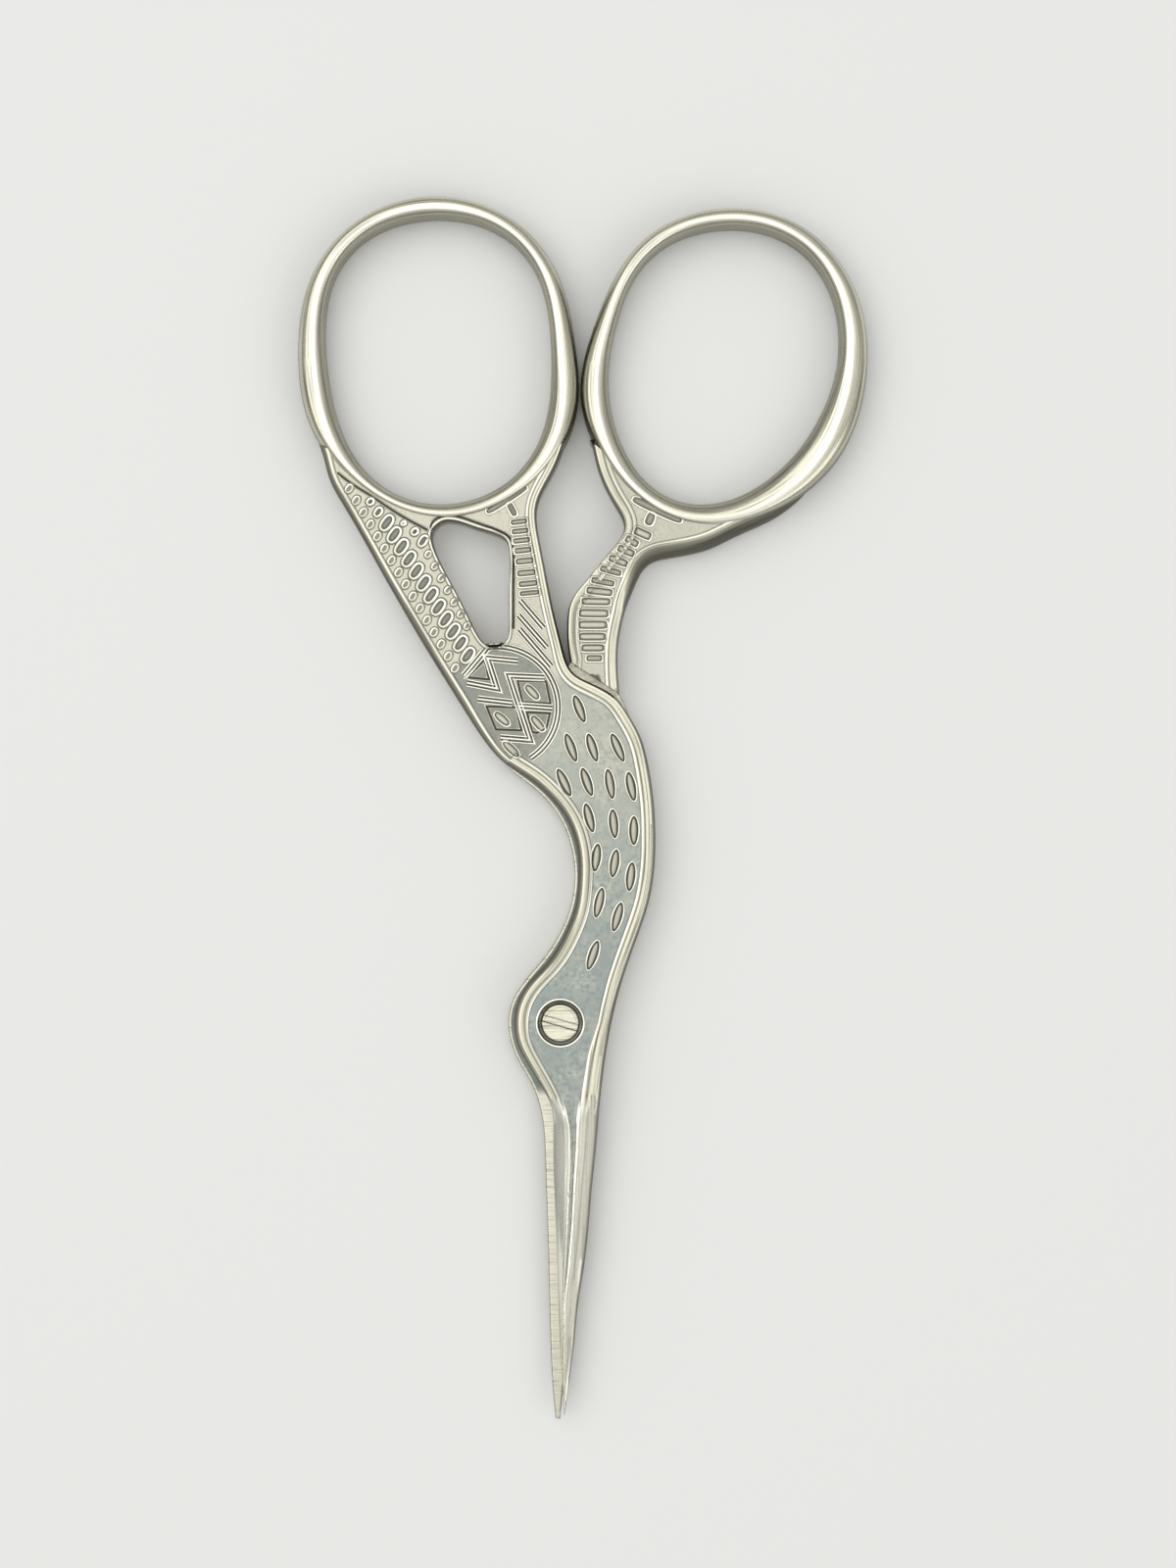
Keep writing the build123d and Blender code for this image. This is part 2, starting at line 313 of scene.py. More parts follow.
@dataclass
class Shell:
    """A mesh being put together: vertices in millimetres, faces, and values for the finish, painted shade and
    painted highlights among them.
    """

    vertices: list = field(default_factory=list)
    triangles: list = field(default_factory=list)
    quads: list = field(default_factory=list)
    values: dict = field(default_factory=lambda: {name: [] for name in VALUE_NAMES})
    count: int = 0

    def add(
        self,
        vertices: np.ndarray,
        triangles: np.ndarray | None = None,
        quads: np.ndarray | None = None,
        **values: float | np.ndarray,
    ) -> int:
        """Adds a batch of vertices with its faces, numbered within the batch.

        Args:
            vertices: Rows of x, y and z.
            triangles: Rows of three vertex numbers.
            quads: Rows of four vertex numbers.
            **values: The finish values, each one number or one for each vertex.

        Returns:
            The number of the batch's first vertex.
        """
        base = self.count
        vertices = np.asarray(vertices, dtype=float)
        self.vertices.append(vertices)
        if triangles is not None and len(triangles):
            self.triangles.append(np.asarray(triangles) + base)
        if quads is not None and len(quads):
            self.quads.append(np.asarray(quads) + base)
        for name, parts in self.values.items():
            given = np.asarray(values.get(name, 0.0), dtype=float)
            parts.append(np.broadcast_to(given, len(vertices)).copy())
        self.count += len(vertices)
        return base

    def make(
        self, name: str, finish: "Steel", body: Body, slot: str, sharp: float = 38.0
    ) -> bpy.types.Object:
        """Puts the shell into a Blender object that rides on a body.

        Args:
            name: Name of the piece.
            finish: The finish that dresses it.
            body: The body that it moves with.
            slot: The record's material slot; not used.
            sharp: Angle in degrees past which an edge stays crisp.

        Returns:
            The Blender object.
        """
        vertices = np.vstack(self.vertices) * MM
        triangles = np.vstack(self.triangles) if self.triangles else np.empty((0, 3), int)
        quads = np.vstack(self.quads) if self.quads else np.empty((0, 4), int)
        mesh = bpy.data.meshes.new(name)
        mesh.vertices.add(len(vertices))
        mesh.vertices.foreach_set("co", vertices.ravel())
        corners = np.concatenate([triangles.ravel(), quads.ravel()]).astype(np.int32)
        mesh.loops.add(len(corners))
        mesh.loops.foreach_set("vertex_index", corners)
        sizes = np.concatenate([np.full(len(triangles), 3), np.full(len(quads), 4)])
        mesh.polygons.add(len(sizes))
        starts = np.concatenate([[0], np.cumsum(sizes)[:-1]])
        mesh.polygons.foreach_set("loop_start", starts.astype(np.int32))
        mesh.update(calc_edges=True)
        mesh.validate()
        for key, parts in self.values.items():
            attribute = mesh.attributes.new(key, "FLOAT", "POINT")
            attribute.data.foreach_set("value", np.concatenate(parts))
        mesh.polygons.foreach_set("use_smooth", np.ones(len(mesh.polygons), dtype=bool))
        mesh.set_sharp_from_angle(angle=math.radians(sharp))
        mesh.update()
        piece = bpy.data.objects.new(name, mesh)
        bpy.context.scene.collection.objects.link(piece)
        mesh.materials.append(finish.material())
        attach(piece, body.value)
        log.info("%s: %d faces on %s", name, len(mesh.polygons), body.value)
        return piece


def grid_quads(rows: int, columns: int, wrap_rows: bool = False, wrap_columns: bool = False) -> np.ndarray:
    """Quads of a grid of points that is numbered row by row, closed in either direction if asked.

    Args:
        rows: Number of rows.
        columns: Number of points in a row.
        wrap_rows: Whether the last row joins the first.
        wrap_columns: Whether each row's last point joins its first.

    Returns:
        Rows of four vertex numbers.
    """
    row = np.arange(rows if wrap_rows else rows - 1)
    column = np.arange(columns if wrap_columns else columns - 1)
    row, column = [part.ravel() for part in np.meshgrid(row, column, indexing="ij")]
    next_row, next_column = (row + 1) % rows, (column + 1) % columns
    corners = [(row, column), (row, next_column), (next_row, next_column), (next_row, column)]
    return np.column_stack([r * columns + c for r, c in corners])


def triangulated(
    loops: list, rows: np.ndarray, lattice: np.ndarray, extra: np.ndarray | None = None
) -> tuple[np.ndarray, np.ndarray]:
    """Triangles that fill a holed outline, with rows of points that follow its rims.

    The rows, a lattice and any further points go into one Delaunay triangulation that keeps the
    outline's edges.

    Args:
        loops: The outer loop, then any holes, as rows of x and y.
        rows: Points of the rows along the rims.
        lattice: Points between the rims.
        extra: Further points inside the outline, or None.

    Returns:
        The points, outline first and in order, and the triangles, anticlockwise.
    """
    inner = np.vstack([rows, lattice] + ([extra] if extra is not None else []))
    keep = within(inner, loops[0])
    for hole in loops[1:]:
        keep &= ~within(inner, hole)
    edge = np.min([near(inner, ring_path(loop)).distance for loop in loops], axis=0)
    outline = np.vstack(loops)
    points = np.vstack([outline, inner[keep & (edge > NEAR_OUTLINE)]])
    edges = []
    base = 0
    for loop in loops:
        number = np.arange(len(loop)) + base
        edges.append(np.column_stack([number, np.roll(number, -1)]))
        base += len(loop)
    edges = np.vstack(edges)
    kept = [tuple(int(v) for v in edge) for edge in edges]
    found = delaunay_2d_cdt([Vector(p) for p in points], kept, [], 0, MERGED, False)
    places = np.array([tuple(v) for v in found[0]])
    triangles = np.array(found[2])
    middle = places[triangles].mean(axis=1)
    doubtful = (triangles < len(outline)).all(axis=1)
    good = np.ones(len(triangles), dtype=bool)
    checked = within(middle[doubtful], loops[0])
    for hole in loops[1:]:
        checked &= ~within(middle[doubtful], hole)
    good[doubtful] = checked
    triangles = triangles[good]
    a, b, c = places[triangles].transpose(1, 0, 2)
    area = (b[:, 0] - a[:, 0]) * (c[:, 1] - a[:, 1]) - (b[:, 1] - a[:, 1]) * (c[:, 0] - a[:, 0])
    triangles[area < 0] = triangles[area < 0][:, ::-1]
    return places, triangles[np.abs(area) > NO_AREA]


def lattice_over(outline: np.ndarray, step: float) -> np.ndarray:
    """A triangular lattice of points over an outline's box.

    Args:
        outline: Rows of x and y.
        step: Distance between neighbours.

    Returns:
        The lattice's points.
    """
    low, high = outline.min(axis=0), outline.max(axis=0)
    y = np.arange(low[1], high[1], step * math.sqrt(3) / 2)
    x = np.arange(low[0], high[0], step)
    lattice = np.array(np.meshgrid(x, y))
    lattice[0, ::2] += step / 2
    return lattice.reshape(2, -1).T


def beside(path: np.ndarray, depths: np.ndarray) -> tuple[np.ndarray, np.ndarray]:
    """Points on both sides of a path, at each point's own depths, with those depths.

    Args:
        path: Rows of x and y.
        depths: One row of depths for each point of the path.

    Returns:
        The points, and the depth at which each was set.
    """
    square = normals(path, False)
    points = [path + square * depth[:, None] * side for depth in depths.T for side in (1, -1)]
    return np.vstack(points), np.repeat(depths.T, 2, axis=0).ravel()


def circle(centre: tuple, radius: float, number: int = 96) -> np.ndarray:
    """Points round a circle, anticlockwise."""
    turn = np.linspace(0, 2 * math.pi, number, endpoint=False)
    return np.column_stack([np.cos(turn), np.sin(turn)]) * radius + centre


Input = float | bpy.types.NodeSocket


class Nodes:
    """Short calls that add shader nodes to one material or world and link them."""

    def __init__(self, tree: bpy.types.NodeTree) -> None:
        """Takes a node tree and empties it."""
        self.tree = tree
        tree.nodes.clear()

    def add(self, kind: str, inputs: dict | None = None, **settings: object) -> bpy.types.Node:
        """Adds a node, sets its properties, and sets or links its inputs.

        Args:
            kind: Blender's name of the node type.
            inputs: Socket names or numbers, with a value or another node's output.
            **settings: Properties of the node.

        Returns:
            The node.
        """
        node = self.tree.nodes.new(kind)
        for key, value in settings.items():
            setattr(node, key, value)
        for key, value in (inputs or {}).items():
            if isinstance(value, bpy.types.NodeSocket):
                self.tree.links.new(value, node.inputs[key])
            else:
                node.inputs[key].default_value = value
        return node

    def math(self, operation: str, *values: Input, clamp: bool = False) -> bpy.types.NodeSocket:
        """Output of a Math node."""
        node = self.add("ShaderNodeMath", dict(enumerate(values)), operation=operation, use_clamp=clamp)
        return node.outputs[0]

    def blend(self, factor: Input, first: Input | tuple, second: Input | tuple) -> bpy.types.NodeSocket:
        """Output of a colour mix: first where the factor is 0, second where it is 1."""
        return self.add("ShaderNodeMix", {0: factor, 6: first, 7: second}, data_type="RGBA").outputs[2]

    def ramp(
        self, value: Input, low: float, high: float, out_low: float = 0.0, out_high: float = 1.0
    ) -> bpy.types.NodeSocket:
        """A value carried from one range to another and held at its ends."""
        return self.add("ShaderNodeMapRange", {0: value, 1: low, 2: high, 3: out_low, 4: out_high}).outputs[0]

    def noise(
        self, place: bpy.types.NodeSocket, scale: float, detail: float, rough: float
    ) -> bpy.types.NodeSocket:
        """Value of a noise texture."""
        inputs = {"Vector": place, "Scale": scale, "Detail": detail, "Roughness": rough}
        return self.add("ShaderNodeTexNoise", inputs).outputs[0]

    def attribute(self, name: str) -> bpy.types.NodeSocket:
        """A value that the mesh carries at its vertices."""
        return self.add("ShaderNodeAttribute", attribute_name=name).outputs["Fac"]


@dataclass(frozen=True)
class Steel:
    """Antiqued nickelled steel: polished rims, a matte blue-grey ground and dark oxide in the cuts; the dark
    colour also paints shade, and the lip colour paints highlights.
    """

    name: str
    polished: tuple = (0.65, 0.63, 0.505, 1.0)
    # Colour of the painted highlights on lips, crests and blade flats.
    lip: tuple = (1.0, 0.985, 0.88, 1.0)
    matte: tuple = (0.31, 0.35, 0.33, 1.0)
    warm: tuple = (0.57, 0.55, 0.45, 1.0)
    # Dark colour of the oxide in the cuts and of the painted shade.
    oxide: tuple = (0.035, 0.033, 0.024, 1.0)
    polished_roughness: float = 0.26
    matte_roughness: float = 0.46
    oxide_and_shade_cover: float = 0.94
    oxide_roughness: float = 0.25
    line_stretch: tuple = (0.12, 6.0)
    patch_scale: float = 330.0
    scuff_scale: float = 2600.0
    fine_detail: float = 1.5
    patch_wear: tuple = (0.35, 0.7)
    scuff_wear: tuple = (0.38, 0.72)
    wear_share: float = 0.7
    ground_stain: tuple = (0.46, 0.26, 0.0, 0.18)
    line_stain: tuple = (0.5, 0.3, 0.0, 0.6)
    scuff_shine: tuple = (0.3, 0.7, -0.03, 0.04)
    line_strength: float = 0.3
    line_depth: float = 0.000012
    grain_strength: tuple = (0.35, 0.03)
    grain_depth: float = 0.00001

    def material(self) -> bpy.types.Material:
        """The material, made once.

        Fine lines run along the rims: noise in a space that is stretched along the edge. The matte
        ground is mottled by two sizes of noise on Object coordinates.

        Returns:
            The material.
        """
        known = bpy.data.materials.get(self.name)
        if known:
            return known
        made = bpy.data.materials.new(self.name)
        made.use_nodes = True
        made.diffuse_color = self.polished
        n = Nodes(made.node_tree)
        place = n.add("ShaderNodeTexCoord").outputs["Object"]
        polish, oxide, warm, lip = [n.attribute(name) for name in ("polish", "oxide", "warm", "bright")]
        stretched = n.add("ShaderNodeCombineXYZ", {
            0: n.math("MULTIPLY", n.attribute("along"), self.line_stretch[0]),
            1: n.math("MULTIPLY", n.attribute("across"), self.line_stretch[1]),
        }).outputs[0]
        lines = n.noise(stretched, 1.0, self.fine_detail, 0.55)
        patches = n.noise(place, self.patch_scale, 3.0, 0.6)
        scuffs = n.noise(place, self.scuff_scale, self.fine_detail, 0.6)
        ground = n.blend(warm, self.matte, self.warm)
        worn = n.math("MULTIPLY", n.ramp(patches, *self.patch_wear), n.ramp(scuffs, *self.scuff_wear))
        ground = n.blend(n.math("MULTIPLY", worn, self.wear_share), ground, self.polished)
        ground = n.blend(n.ramp(scuffs, *self.ground_stain), ground, self.oxide)
        bright = n.blend(n.ramp(lines, *self.line_stain), self.polished, self.oxide)
        # Painted highlight: the bright value lays the lip colour over the polished colour.
        bright = n.blend(lip, bright, self.lip)
        colour = n.blend(polish, ground, bright)
        # The oxide value darkens the colour: oxide in the cuts, and painted shade on sides, walls and
        # undersides.
        colour = n.blend(n.math("MULTIPLY", oxide, self.oxide_and_shade_cover), colour, self.oxide)
        roughness = n.ramp(polish, 0, 1, self.matte_roughness, self.polished_roughness)
        shine = n.math("ADD", roughness, n.ramp(scuffs, *self.scuff_shine))
        shine = n.math("ADD", shine, n.math("MULTIPLY", oxide, self.oxide_roughness), clamp=True)
        line_bump = n.add("ShaderNodeBump", {
            "Strength": self.line_strength,
            "Distance": self.line_depth,
            "Height": n.math("MULTIPLY", lines, polish),
        }).outputs[0]
        bump = n.add("ShaderNodeBump", {
            "Strength": n.ramp(polish, 0.0, 1.0, *self.grain_strength),
            "Distance": self.grain_depth,
            "Height": scuffs,
            "Normal": line_bump,
        }).outputs[0]
        shader = n.add("ShaderNodeBsdfPrincipled", {
            "Base Color": colour, "Roughness": shine, "Metallic": 1.0, "Normal": bump,
        })
        n.add("ShaderNodeOutputMaterial", {"Surface": shader.outputs[0]})
        return made


FRONT_STEEL = Steel("aged_front_steel")
REAR_STEEL = Steel("aged_rear_steel")
SCREW_STEEL = Steel("aged_screw_steel")


@dataclass(frozen=True)
class Rim:
    """One edge of a plate, with the widths of its steep side and of its rim, each against y."""

    path: np.ndarray
    side: tuple = ((0.0, 0.36),)
    width: tuple = ((0.0, 0.85),)

    def widths(self, points: np.ndarray) -> list:
        """Widths of the side and of the rim beside points."""
        return [interpolated(points[:, 1], table) for table in (self.side, self.width)]


@dataclass(frozen=True)
class RimPlace:
    """How far points lie in from a plate's edge, and the widths of the side and rim there."""

    distance: np.ndarray
    along: np.ndarray
    side: np.ndarray
    width: np.ndarray

    @property
    def share(self) -> np.ndarray:
        """Place across the rim, 0 at the side and 1 at the foot."""
        return np.clip((self.distance - self.side) / self.width, 0, 1)

    @property
    def past_foot(self) -> np.ndarray:
        """Distance inside the rim's foot, negative on the rim."""
        return self.distance - self.side - self.width


SIDE_SHARES = (0.12, 0.3, 0.55, 0.8, 1.0)
RIM_SHARES = (0.2, 0.28, 0.36, 0.56, 0.61, 0.66, 0.71, 0.76, 0.86, 0.97)
SLOPE_SHARES = (0.5, 1.05, 1.05, 1.05)
GROUND_STEPS = (0, 0, 0.06, 0.3)


@dataclass(frozen=True)
class RimProfile:
    """Section of a plate's edge, from its silhouette inwards: a steep side, a round rim, a lower ground."""

    slope: float = 0.12
    side_bottom: float = 2.5
    crest: float = 3.8
    ground: float = 3.64
    droop: float = 0.05
    furrow_depth: float = 0.035
    furrow_share: float = 0.66
    furrow_width: float = 0.075
    outer_line_share: float = 0.28
    outer_line_width: float = 0.07
    broad: tuple = (0.4, 0.65)
    lip_highlight_width: float = 0.085
    overlap: float = 0.02
    side_shade_tone: float = 0.92
    furrow_tone: float = 0.75
    outer_line_tone: float = 0.3

    def furrow(self, place: RimPlace) -> np.ndarray:
        """1 in the fine line that runs along a broad rim, 0 away from it."""
        return peak(place.share, self.furrow_share, self.furrow_width) * smoothstep(place.width, *self.broad)

    def outer_line(self, place: RimPlace) -> np.ndarray:
        """1 in the faint line on the outer part of a broad rim, 0 away from it."""
        line = peak(place.share, self.outer_line_share, self.outer_line_width)
        return line * smoothstep(place.width, *self.broad)

    def height(self, place: RimPlace) -> np.ndarray:
        """Height of the top.

        A quarter wave rises over the side, a flat arch with one fine furrow spans the rim, and a
        smooth step falls to the ground.

        Args:
            place: Where the points lie against the rims.

        Returns:
            One height for each point.
        """
        rise = np.sin(np.clip(place.distance / place.side, 0, 1) * math.pi / 2) ** 0.8
        z = self.side_bottom + (self.crest - self.side_bottom) * rise
        inward = 2 * np.clip(place.share, 0.5, 1) - 1
        z = z - self.droop * inward**2 - self.furrow_depth * self.furrow(place)
        return z + (self.ground - self.crest + self.droop) * smoothstep(place.past_foot, 0, self.slope)

    def values(self, place: RimPlace) -> dict:
        """Finish values: polished to the foot, painted shade on the steep side, dark in the furrow, and a
        painted highlight at the lip.

        Args:
            place: Where the points lie against the rims.

        Returns:
            The finish values by name.
        """
        # Painted shade on the steep side, darkest at the silhouette and fading up the side.
        side = self.side_shade_tone * (1 - smoothstep(place.distance / place.side, 0.35, 1.0))
        lines = self.furrow_tone * self.furrow(place) + self.outer_line_tone * self.outer_line(place)
        return {
            "polish": 1 - smoothstep(place.past_foot, -self.overlap, self.slope),
            "oxide": np.maximum(side, lines),
            # Painted highlight along the lip at the rim's foot.
            "bright": peak(place.past_foot, -self.overlap, self.lip_highlight_width),
            "along": place.along,
            "across": place.distance,
        }

    def rows(self, rim: Rim) -> np.ndarray:
        """Depths at which points are set inside each point of a rim's path.

        Args:
            rim: The rim.

        Returns:
            One row of depths for each point of its path.
        """
        side, width = [w[:, None] for w in rim.widths(rim.path)]
        foot = side + width + np.multiply(SLOPE_SHARES, self.slope) + GROUND_STEPS
        return np.hstack([side * SIDE_SHARES, side + width * RIM_SHARES, foot])


@dataclass
class FingerBow:
    """A finger bow: a band with a rounded section between its hole and its outer outline."""

    hole: tuple
    outside: tuple
    root: float
    root_reach: float = 0.95
    thickness: float = 4.0
    flank_power: float = 0.8
    top_power: float = 0.72
    lean: float = -0.1
    root_lean: float = 0.55
    # Place and strength of the painted highlight along the crest, then the painted shade on the inner wall,
    # the outer edge and the underside.
    crest_place: float = -0.3
    crest_width: float = 0.2
    crest_highlight: float = 0.8
    inner_shade_tone: float = 0.5
    outer_shade_tone: float = 0.75
    under_shade_tone: float = 0.15
    around: int = 300
    section: int = 40
    waves: int = 6

    def centre(self) -> np.ndarray:
        """Middle of the hole, from which both outlines are measured by angle."""
        hole = PHOTO.mm(self.hole)
        return (hole.max(axis=0) + hole.min(axis=0)) / 2

    def radii(self, outline: tuple, angles: np.ndarray) -> np.ndarray:
        """Distance from the centre to an outline, at each angle, smoothed to its first few waves round.

        Args:
            outline: Pixel places round the band.
            angles: Angles round the centre.

        Returns:
            One radius for each angle.
        """
        path = spline(PHOTO.mm(outline), closed=True) - self.centre()
        turn = np.arctan2(path[:, 1], path[:, 0])
        order = np.argsort(turn)
        radii = np.interp(angles, turn[order], np.linalg.norm(path, axis=1)[order], period=2 * math.pi)
        waves = np.fft.rfft(radii)
        waves[self.waves + 1:] = 0
        return np.fft.irfft(waves, len(angles))

    def add_to(self, shell: Shell) -> None:
        """Adds the band: at each angle round the hole, a superellipse between the two outlines.

        The section's place across is a signed power of the cosine and its height one of the sine, so
        the band is widest at half its thickness and has a softly flattened top. Towards its root the
        crest leans outwards, by a share of one less the square of the place across.

        Args:
            shell: The mesh to add to.
        """
        angles = np.linspace(-math.pi, math.pi, self.around, endpoint=False)
        inner, outer = self.radii(self.hole, angles), self.radii(self.outside, angles)
        turn = np.linspace(0, 2 * math.pi, self.section, endpoint=False)
        across = signed_power(np.cos(turn), self.flank_power)
        up = signed_power(np.sin(turn), self.top_power)
        away = (angles - self.root + math.pi) % (2 * math.pi) - math.pi
        rooted = peak(away, 0.0, self.root_reach)
        lean = self.lean + self.root_lean * rooted
        across = across + lean[:, None] * (1 - across**2) * (up > 0)
        radius = (inner + outer)[:, None] / 2 + (outer - inner)[:, None] / 2 * across
        centre = self.centre()
        x = centre[0] + radius * np.cos(angles)[:, None]
        y = centre[1] + radius * np.sin(angles)[:, None]
        z = np.broadcast_to(self.thickness / 2 * (1 + up), x.shape)
        # Painted shade on the inner wall, the outer edge and the underside.
        inside = smoothstep(-across, np.full_like(across, 0.5) - 0.45 * rooted[:, None], 1.0)
        outside = smoothstep(across, 0.8, 1.0)
        dark = self.inner_shade_tone * inside + self.outer_shade_tone * outside + self.under_shade_tone * (up < -0.2)
        # Painted highlight along the band, moved outwards towards the root.
        crest = peak(across, rooted[:, None] + self.crest_place, self.crest_width) * (up > 0)
        shell.add(
            np.stack([x, y, z], axis=-1).reshape(-1, 3),
            quads=grid_quads(self.around, self.section, True, True),
            polish=1.0,
            oxide=np.clip(dark, 0, 0.85).ravel(),
            bright=self.crest_highlight * crest.ravel(),
            along=np.repeat(angles * ((inner + outer) / 2).mean(), self.section),
            across=np.tile(turn * 1.6, self.around),
        )


@dataclass(frozen=True)
class ScrewSeat:
    """The round seat in the bird's head: the hole that it fills, and its section from the middle outwards."""

    hole: float = 2.2
    # Rows of radius, height, polish, oxide and bright; bright is a painted highlight on the seat's crest.
    section: tuple = (
        (1.2, 2.95, 0.5, 0.7, 0.0), (1.82, 2.95, 0.5, 0.7, 0.0), (1.83, 3.4, 0.5, 0.7, 0.0),
        (1.99, 3.42, 0.5, 0.5, 0.0), (2.05, 3.47, 0.5, 0.55, 0.0), (2.1, 3.62, 0.7, 0.4, 0.0),
        (2.13, 3.69, 1.0, 0.0, 0.7),
        (2.18, 3.72, 1.0, 0.0, 1.0), (2.25, 3.725, 1.0, 0.0, 1.0), (2.31, 3.69, 1.0, 0.0, 0.8),
        (2.35, 3.63, 0.4, 0.1, 0.2), (2.36, 3.5, 0.3, 0.3, 0.0), (2.36, 1.97, 0.3, 0.3, 0.0),
    )
    floor: float = 2.95
    under: float = 1.95

    def add_to(self, shell: Shell) -> None:
        """Adds the seat, closed below so that it stands by itself in its hole."""
        table = np.array(self.section)
        lathe(shell, table[:, :2], (self.floor, self.under), table[:, 2], table[:, 3], table[:, 4])


SEAT = ScrewSeat()


def lathe(
    shell: Shell,
    section: np.ndarray,
    poles: tuple,
    polish: np.ndarray,
    oxide: np.ndarray,
    bright: np.ndarray,
    around: int = 96,
) -> None:
    """Adds a closed turned shape about the pivot axis.

    Args:
        shell: The mesh to add to.
        section: Rows of radius and height, from the top pole to the bottom one.
        poles: Heights of the top and the bottom on the axis.
        polish: Finish value of each row.
        oxide: Darkening of each row, for oxide in hollows and painted shade.
        bright: Painted highlight of each row.
        around: Number of points round.
    """
    turn = np.linspace(0, 2 * math.pi, around, endpoint=False)
    rows = len(section)
    radius, height = np.repeat(np.asarray(section), around, axis=0).T
    x, y = np.tile(np.cos(turn), rows) * radius, np.tile(np.sin(turn), rows) * radius
    places = np.vstack([np.column_stack([x, y, height]), [[0, 0, poles[0]], [0, 0, poles[1]]]])
    number = np.arange(around)
    ahead = (number + 1) % around
    top = np.column_stack([np.full(around, len(places) - 2), number, ahead])
    last = (rows - 1) * around
    bottom = np.column_stack([np.full(around, len(places) - 1), ahead + last, number + last])
    spread = [np.concatenate([np.repeat(v, around), [v[0], v[-1]]]) for v in (polish, oxide, bright)]
    quads = grid_quads(rows, around, wrap_columns=True)[:, ::-1]
    shell.add(
        places,
        np.vstack([top, bottom]),
        quads,
        polish=spread[0],
        oxide=spread[1],
        bright=spread[2],
        along=places[:, 0],
        across=places[:, 1],
    )


@dataclass
class Plate:
    """A plate whose top has a rim, a ground and any shape of its own, over a bottom at its own height."""

    loops: list = field(default_factory=list)
    rims: list = field(default_factory=list)
    profile: RimProfile = field(default_factory=RimProfile)
    step: float = 0.55
    bottom: float = 0.0
    bottom_round: float = 0.25
    bottom_polish: float = 0.4
    bottom_oxide: float = 0.25

    def place(self, points: np.ndarray) -> RimPlace:
        """Where points lie against the nearest rim.

        Args:
            points: Rows of x and y, in millimetres.

        Returns:
            Their places against the rim that is nearest to each.
        """
        found = [near(points, rim.path) for rim in self.rims]
        widths = np.array([rim.widths(points) for rim in self.rims])
        distances = np.array([f.distance for f in found])
        best = distances.argmin(axis=0)
        column = np.arange(len(points))
        along = np.array([f.along for f in found])[best, column]
        return RimPlace(distances[best, column], along, widths[best, 0, column], widths[best, 1, column])

    def top(self, points: np.ndarray, place: RimPlace | None = None) -> np.ndarray:
        """Height of the top surface over points."""
        return self.profile.height(place or self.place(points))

    def under(self, points: np.ndarray, place: RimPlace) -> np.ndarray:
        """Height of the bottom surface, rounded up at the rims by a quarter circle."""
        part = np.clip(1 - place.distance / self.bottom_round, 0, 1)
        return self.bottom + self.bottom_round * (1 - np.sqrt(1 - part**2))

    def finish(self, points: np.ndarray, place: RimPlace) -> dict:
        """Finish values over points, painted shade and painted highlights among them."""
        return dict(self.profile.values(place), warm=self.warmth(points))

    def warmth(self, points: np.ndarray) -> np.ndarray:
        """How warm the ground is at each point."""
        return np.zeros(len(points))

    def extra(self) -> np.ndarray | None:
        """Further points of the top, or None."""
        return None

    def add_to(self, shell: Shell) -> None:
        """Adds the top, the bottom and the walls between their outlines, as one closed shell.

        Args:
            shell: The mesh to add to.
        """
        strips = [beside(rim.path, self.profile.rows(rim)) for rim in self.rims]
        rows, depth = [np.concatenate(part) for part in zip(*strips)]
        rows = rows[self.place(rows).distance > depth - ROW_SLACK]
        lattice = lattice_over(self.loops[0], self.step)
        lattice = lattice[self.place(lattice).past_foot > self.profile.slope + LATTICE_GAP + self.step * 0.5]
        flat, triangles = triangulated(self.loops, rows, lattice, self.extra())
        rim = self.place(flat)
        high = self.top(flat, rim)
        low = np.minimum(self.under(flat, rim), high - THINNEST)
        count = len(flat)
        values = self.finish(flat, rim)
        polish = np.maximum(values["polish"], self.bottom_polish)
        below = dict(values, polish=polish, oxide=self.bottom_oxide, bright=0.0)
        both = {
            key: np.concatenate([np.broadcast_to(part[key], count) for part in (values, below)])
            for key in values
        }
        walls = []
        base = 0
        for loop in self.loops:
            here = np.arange(len(loop)) + base
            ahead = np.roll(here, -1)
            walls.append(np.column_stack([here, here + count, ahead + count, ahead]))
            base += len(loop)
        places = np.vstack([np.column_stack([flat, high]), np.column_stack([flat, low])])
        shell.add(places, np.vstack([triangles, triangles[:, ::-1] + count]), np.vstack(walls), **both)


FRONT_HOLE = (
    (331, 350), (336, 300), (352, 262), (384, 236), (420, 224), (450, 221.5), (484, 225), (520, 245),
    (543, 270), (555, 300), (562, 340), (562, 380), (554, 440), (544, 460), (530, 480), (502, 500),
    (450, 515), (400, 500), (372, 480), (357, 460), (349, 440), (337.5, 400),
)
FRONT_BAND = (
    (450, 200.4), (480, 202.5), (500, 209.5), (517, 219.5), (531, 229.5), (543, 240), (553, 251),
    (565, 270), (574, 290), (580.5, 312), (585.5, 335), (589, 360), (590, 400), (585, 436), (574, 461),
    (558, 481), (537, 499), (505, 517), (470, 528), (440, 528), (403, 517), (374, 501), (348, 480),
    (331, 462), (319, 440), (311, 420), (306, 395), (303.5, 355), (306, 320), (312, 294), (322, 272),
    (339, 248), (361, 226), (385, 211), (420, 202),
)
REAR_HOLE = (
    (621, 390), (624, 360), (634, 315), (655, 273), (683, 247), (722, 234), (750, 231.5), (790, 238),
    (822, 258), (842, 285), (854, 315), (857.5, 350), (852, 385), (843, 413), (824, 447), (792, 482),
    (757, 505), (722, 514), (690, 509), (660, 491), (640, 465), (628, 430),
)
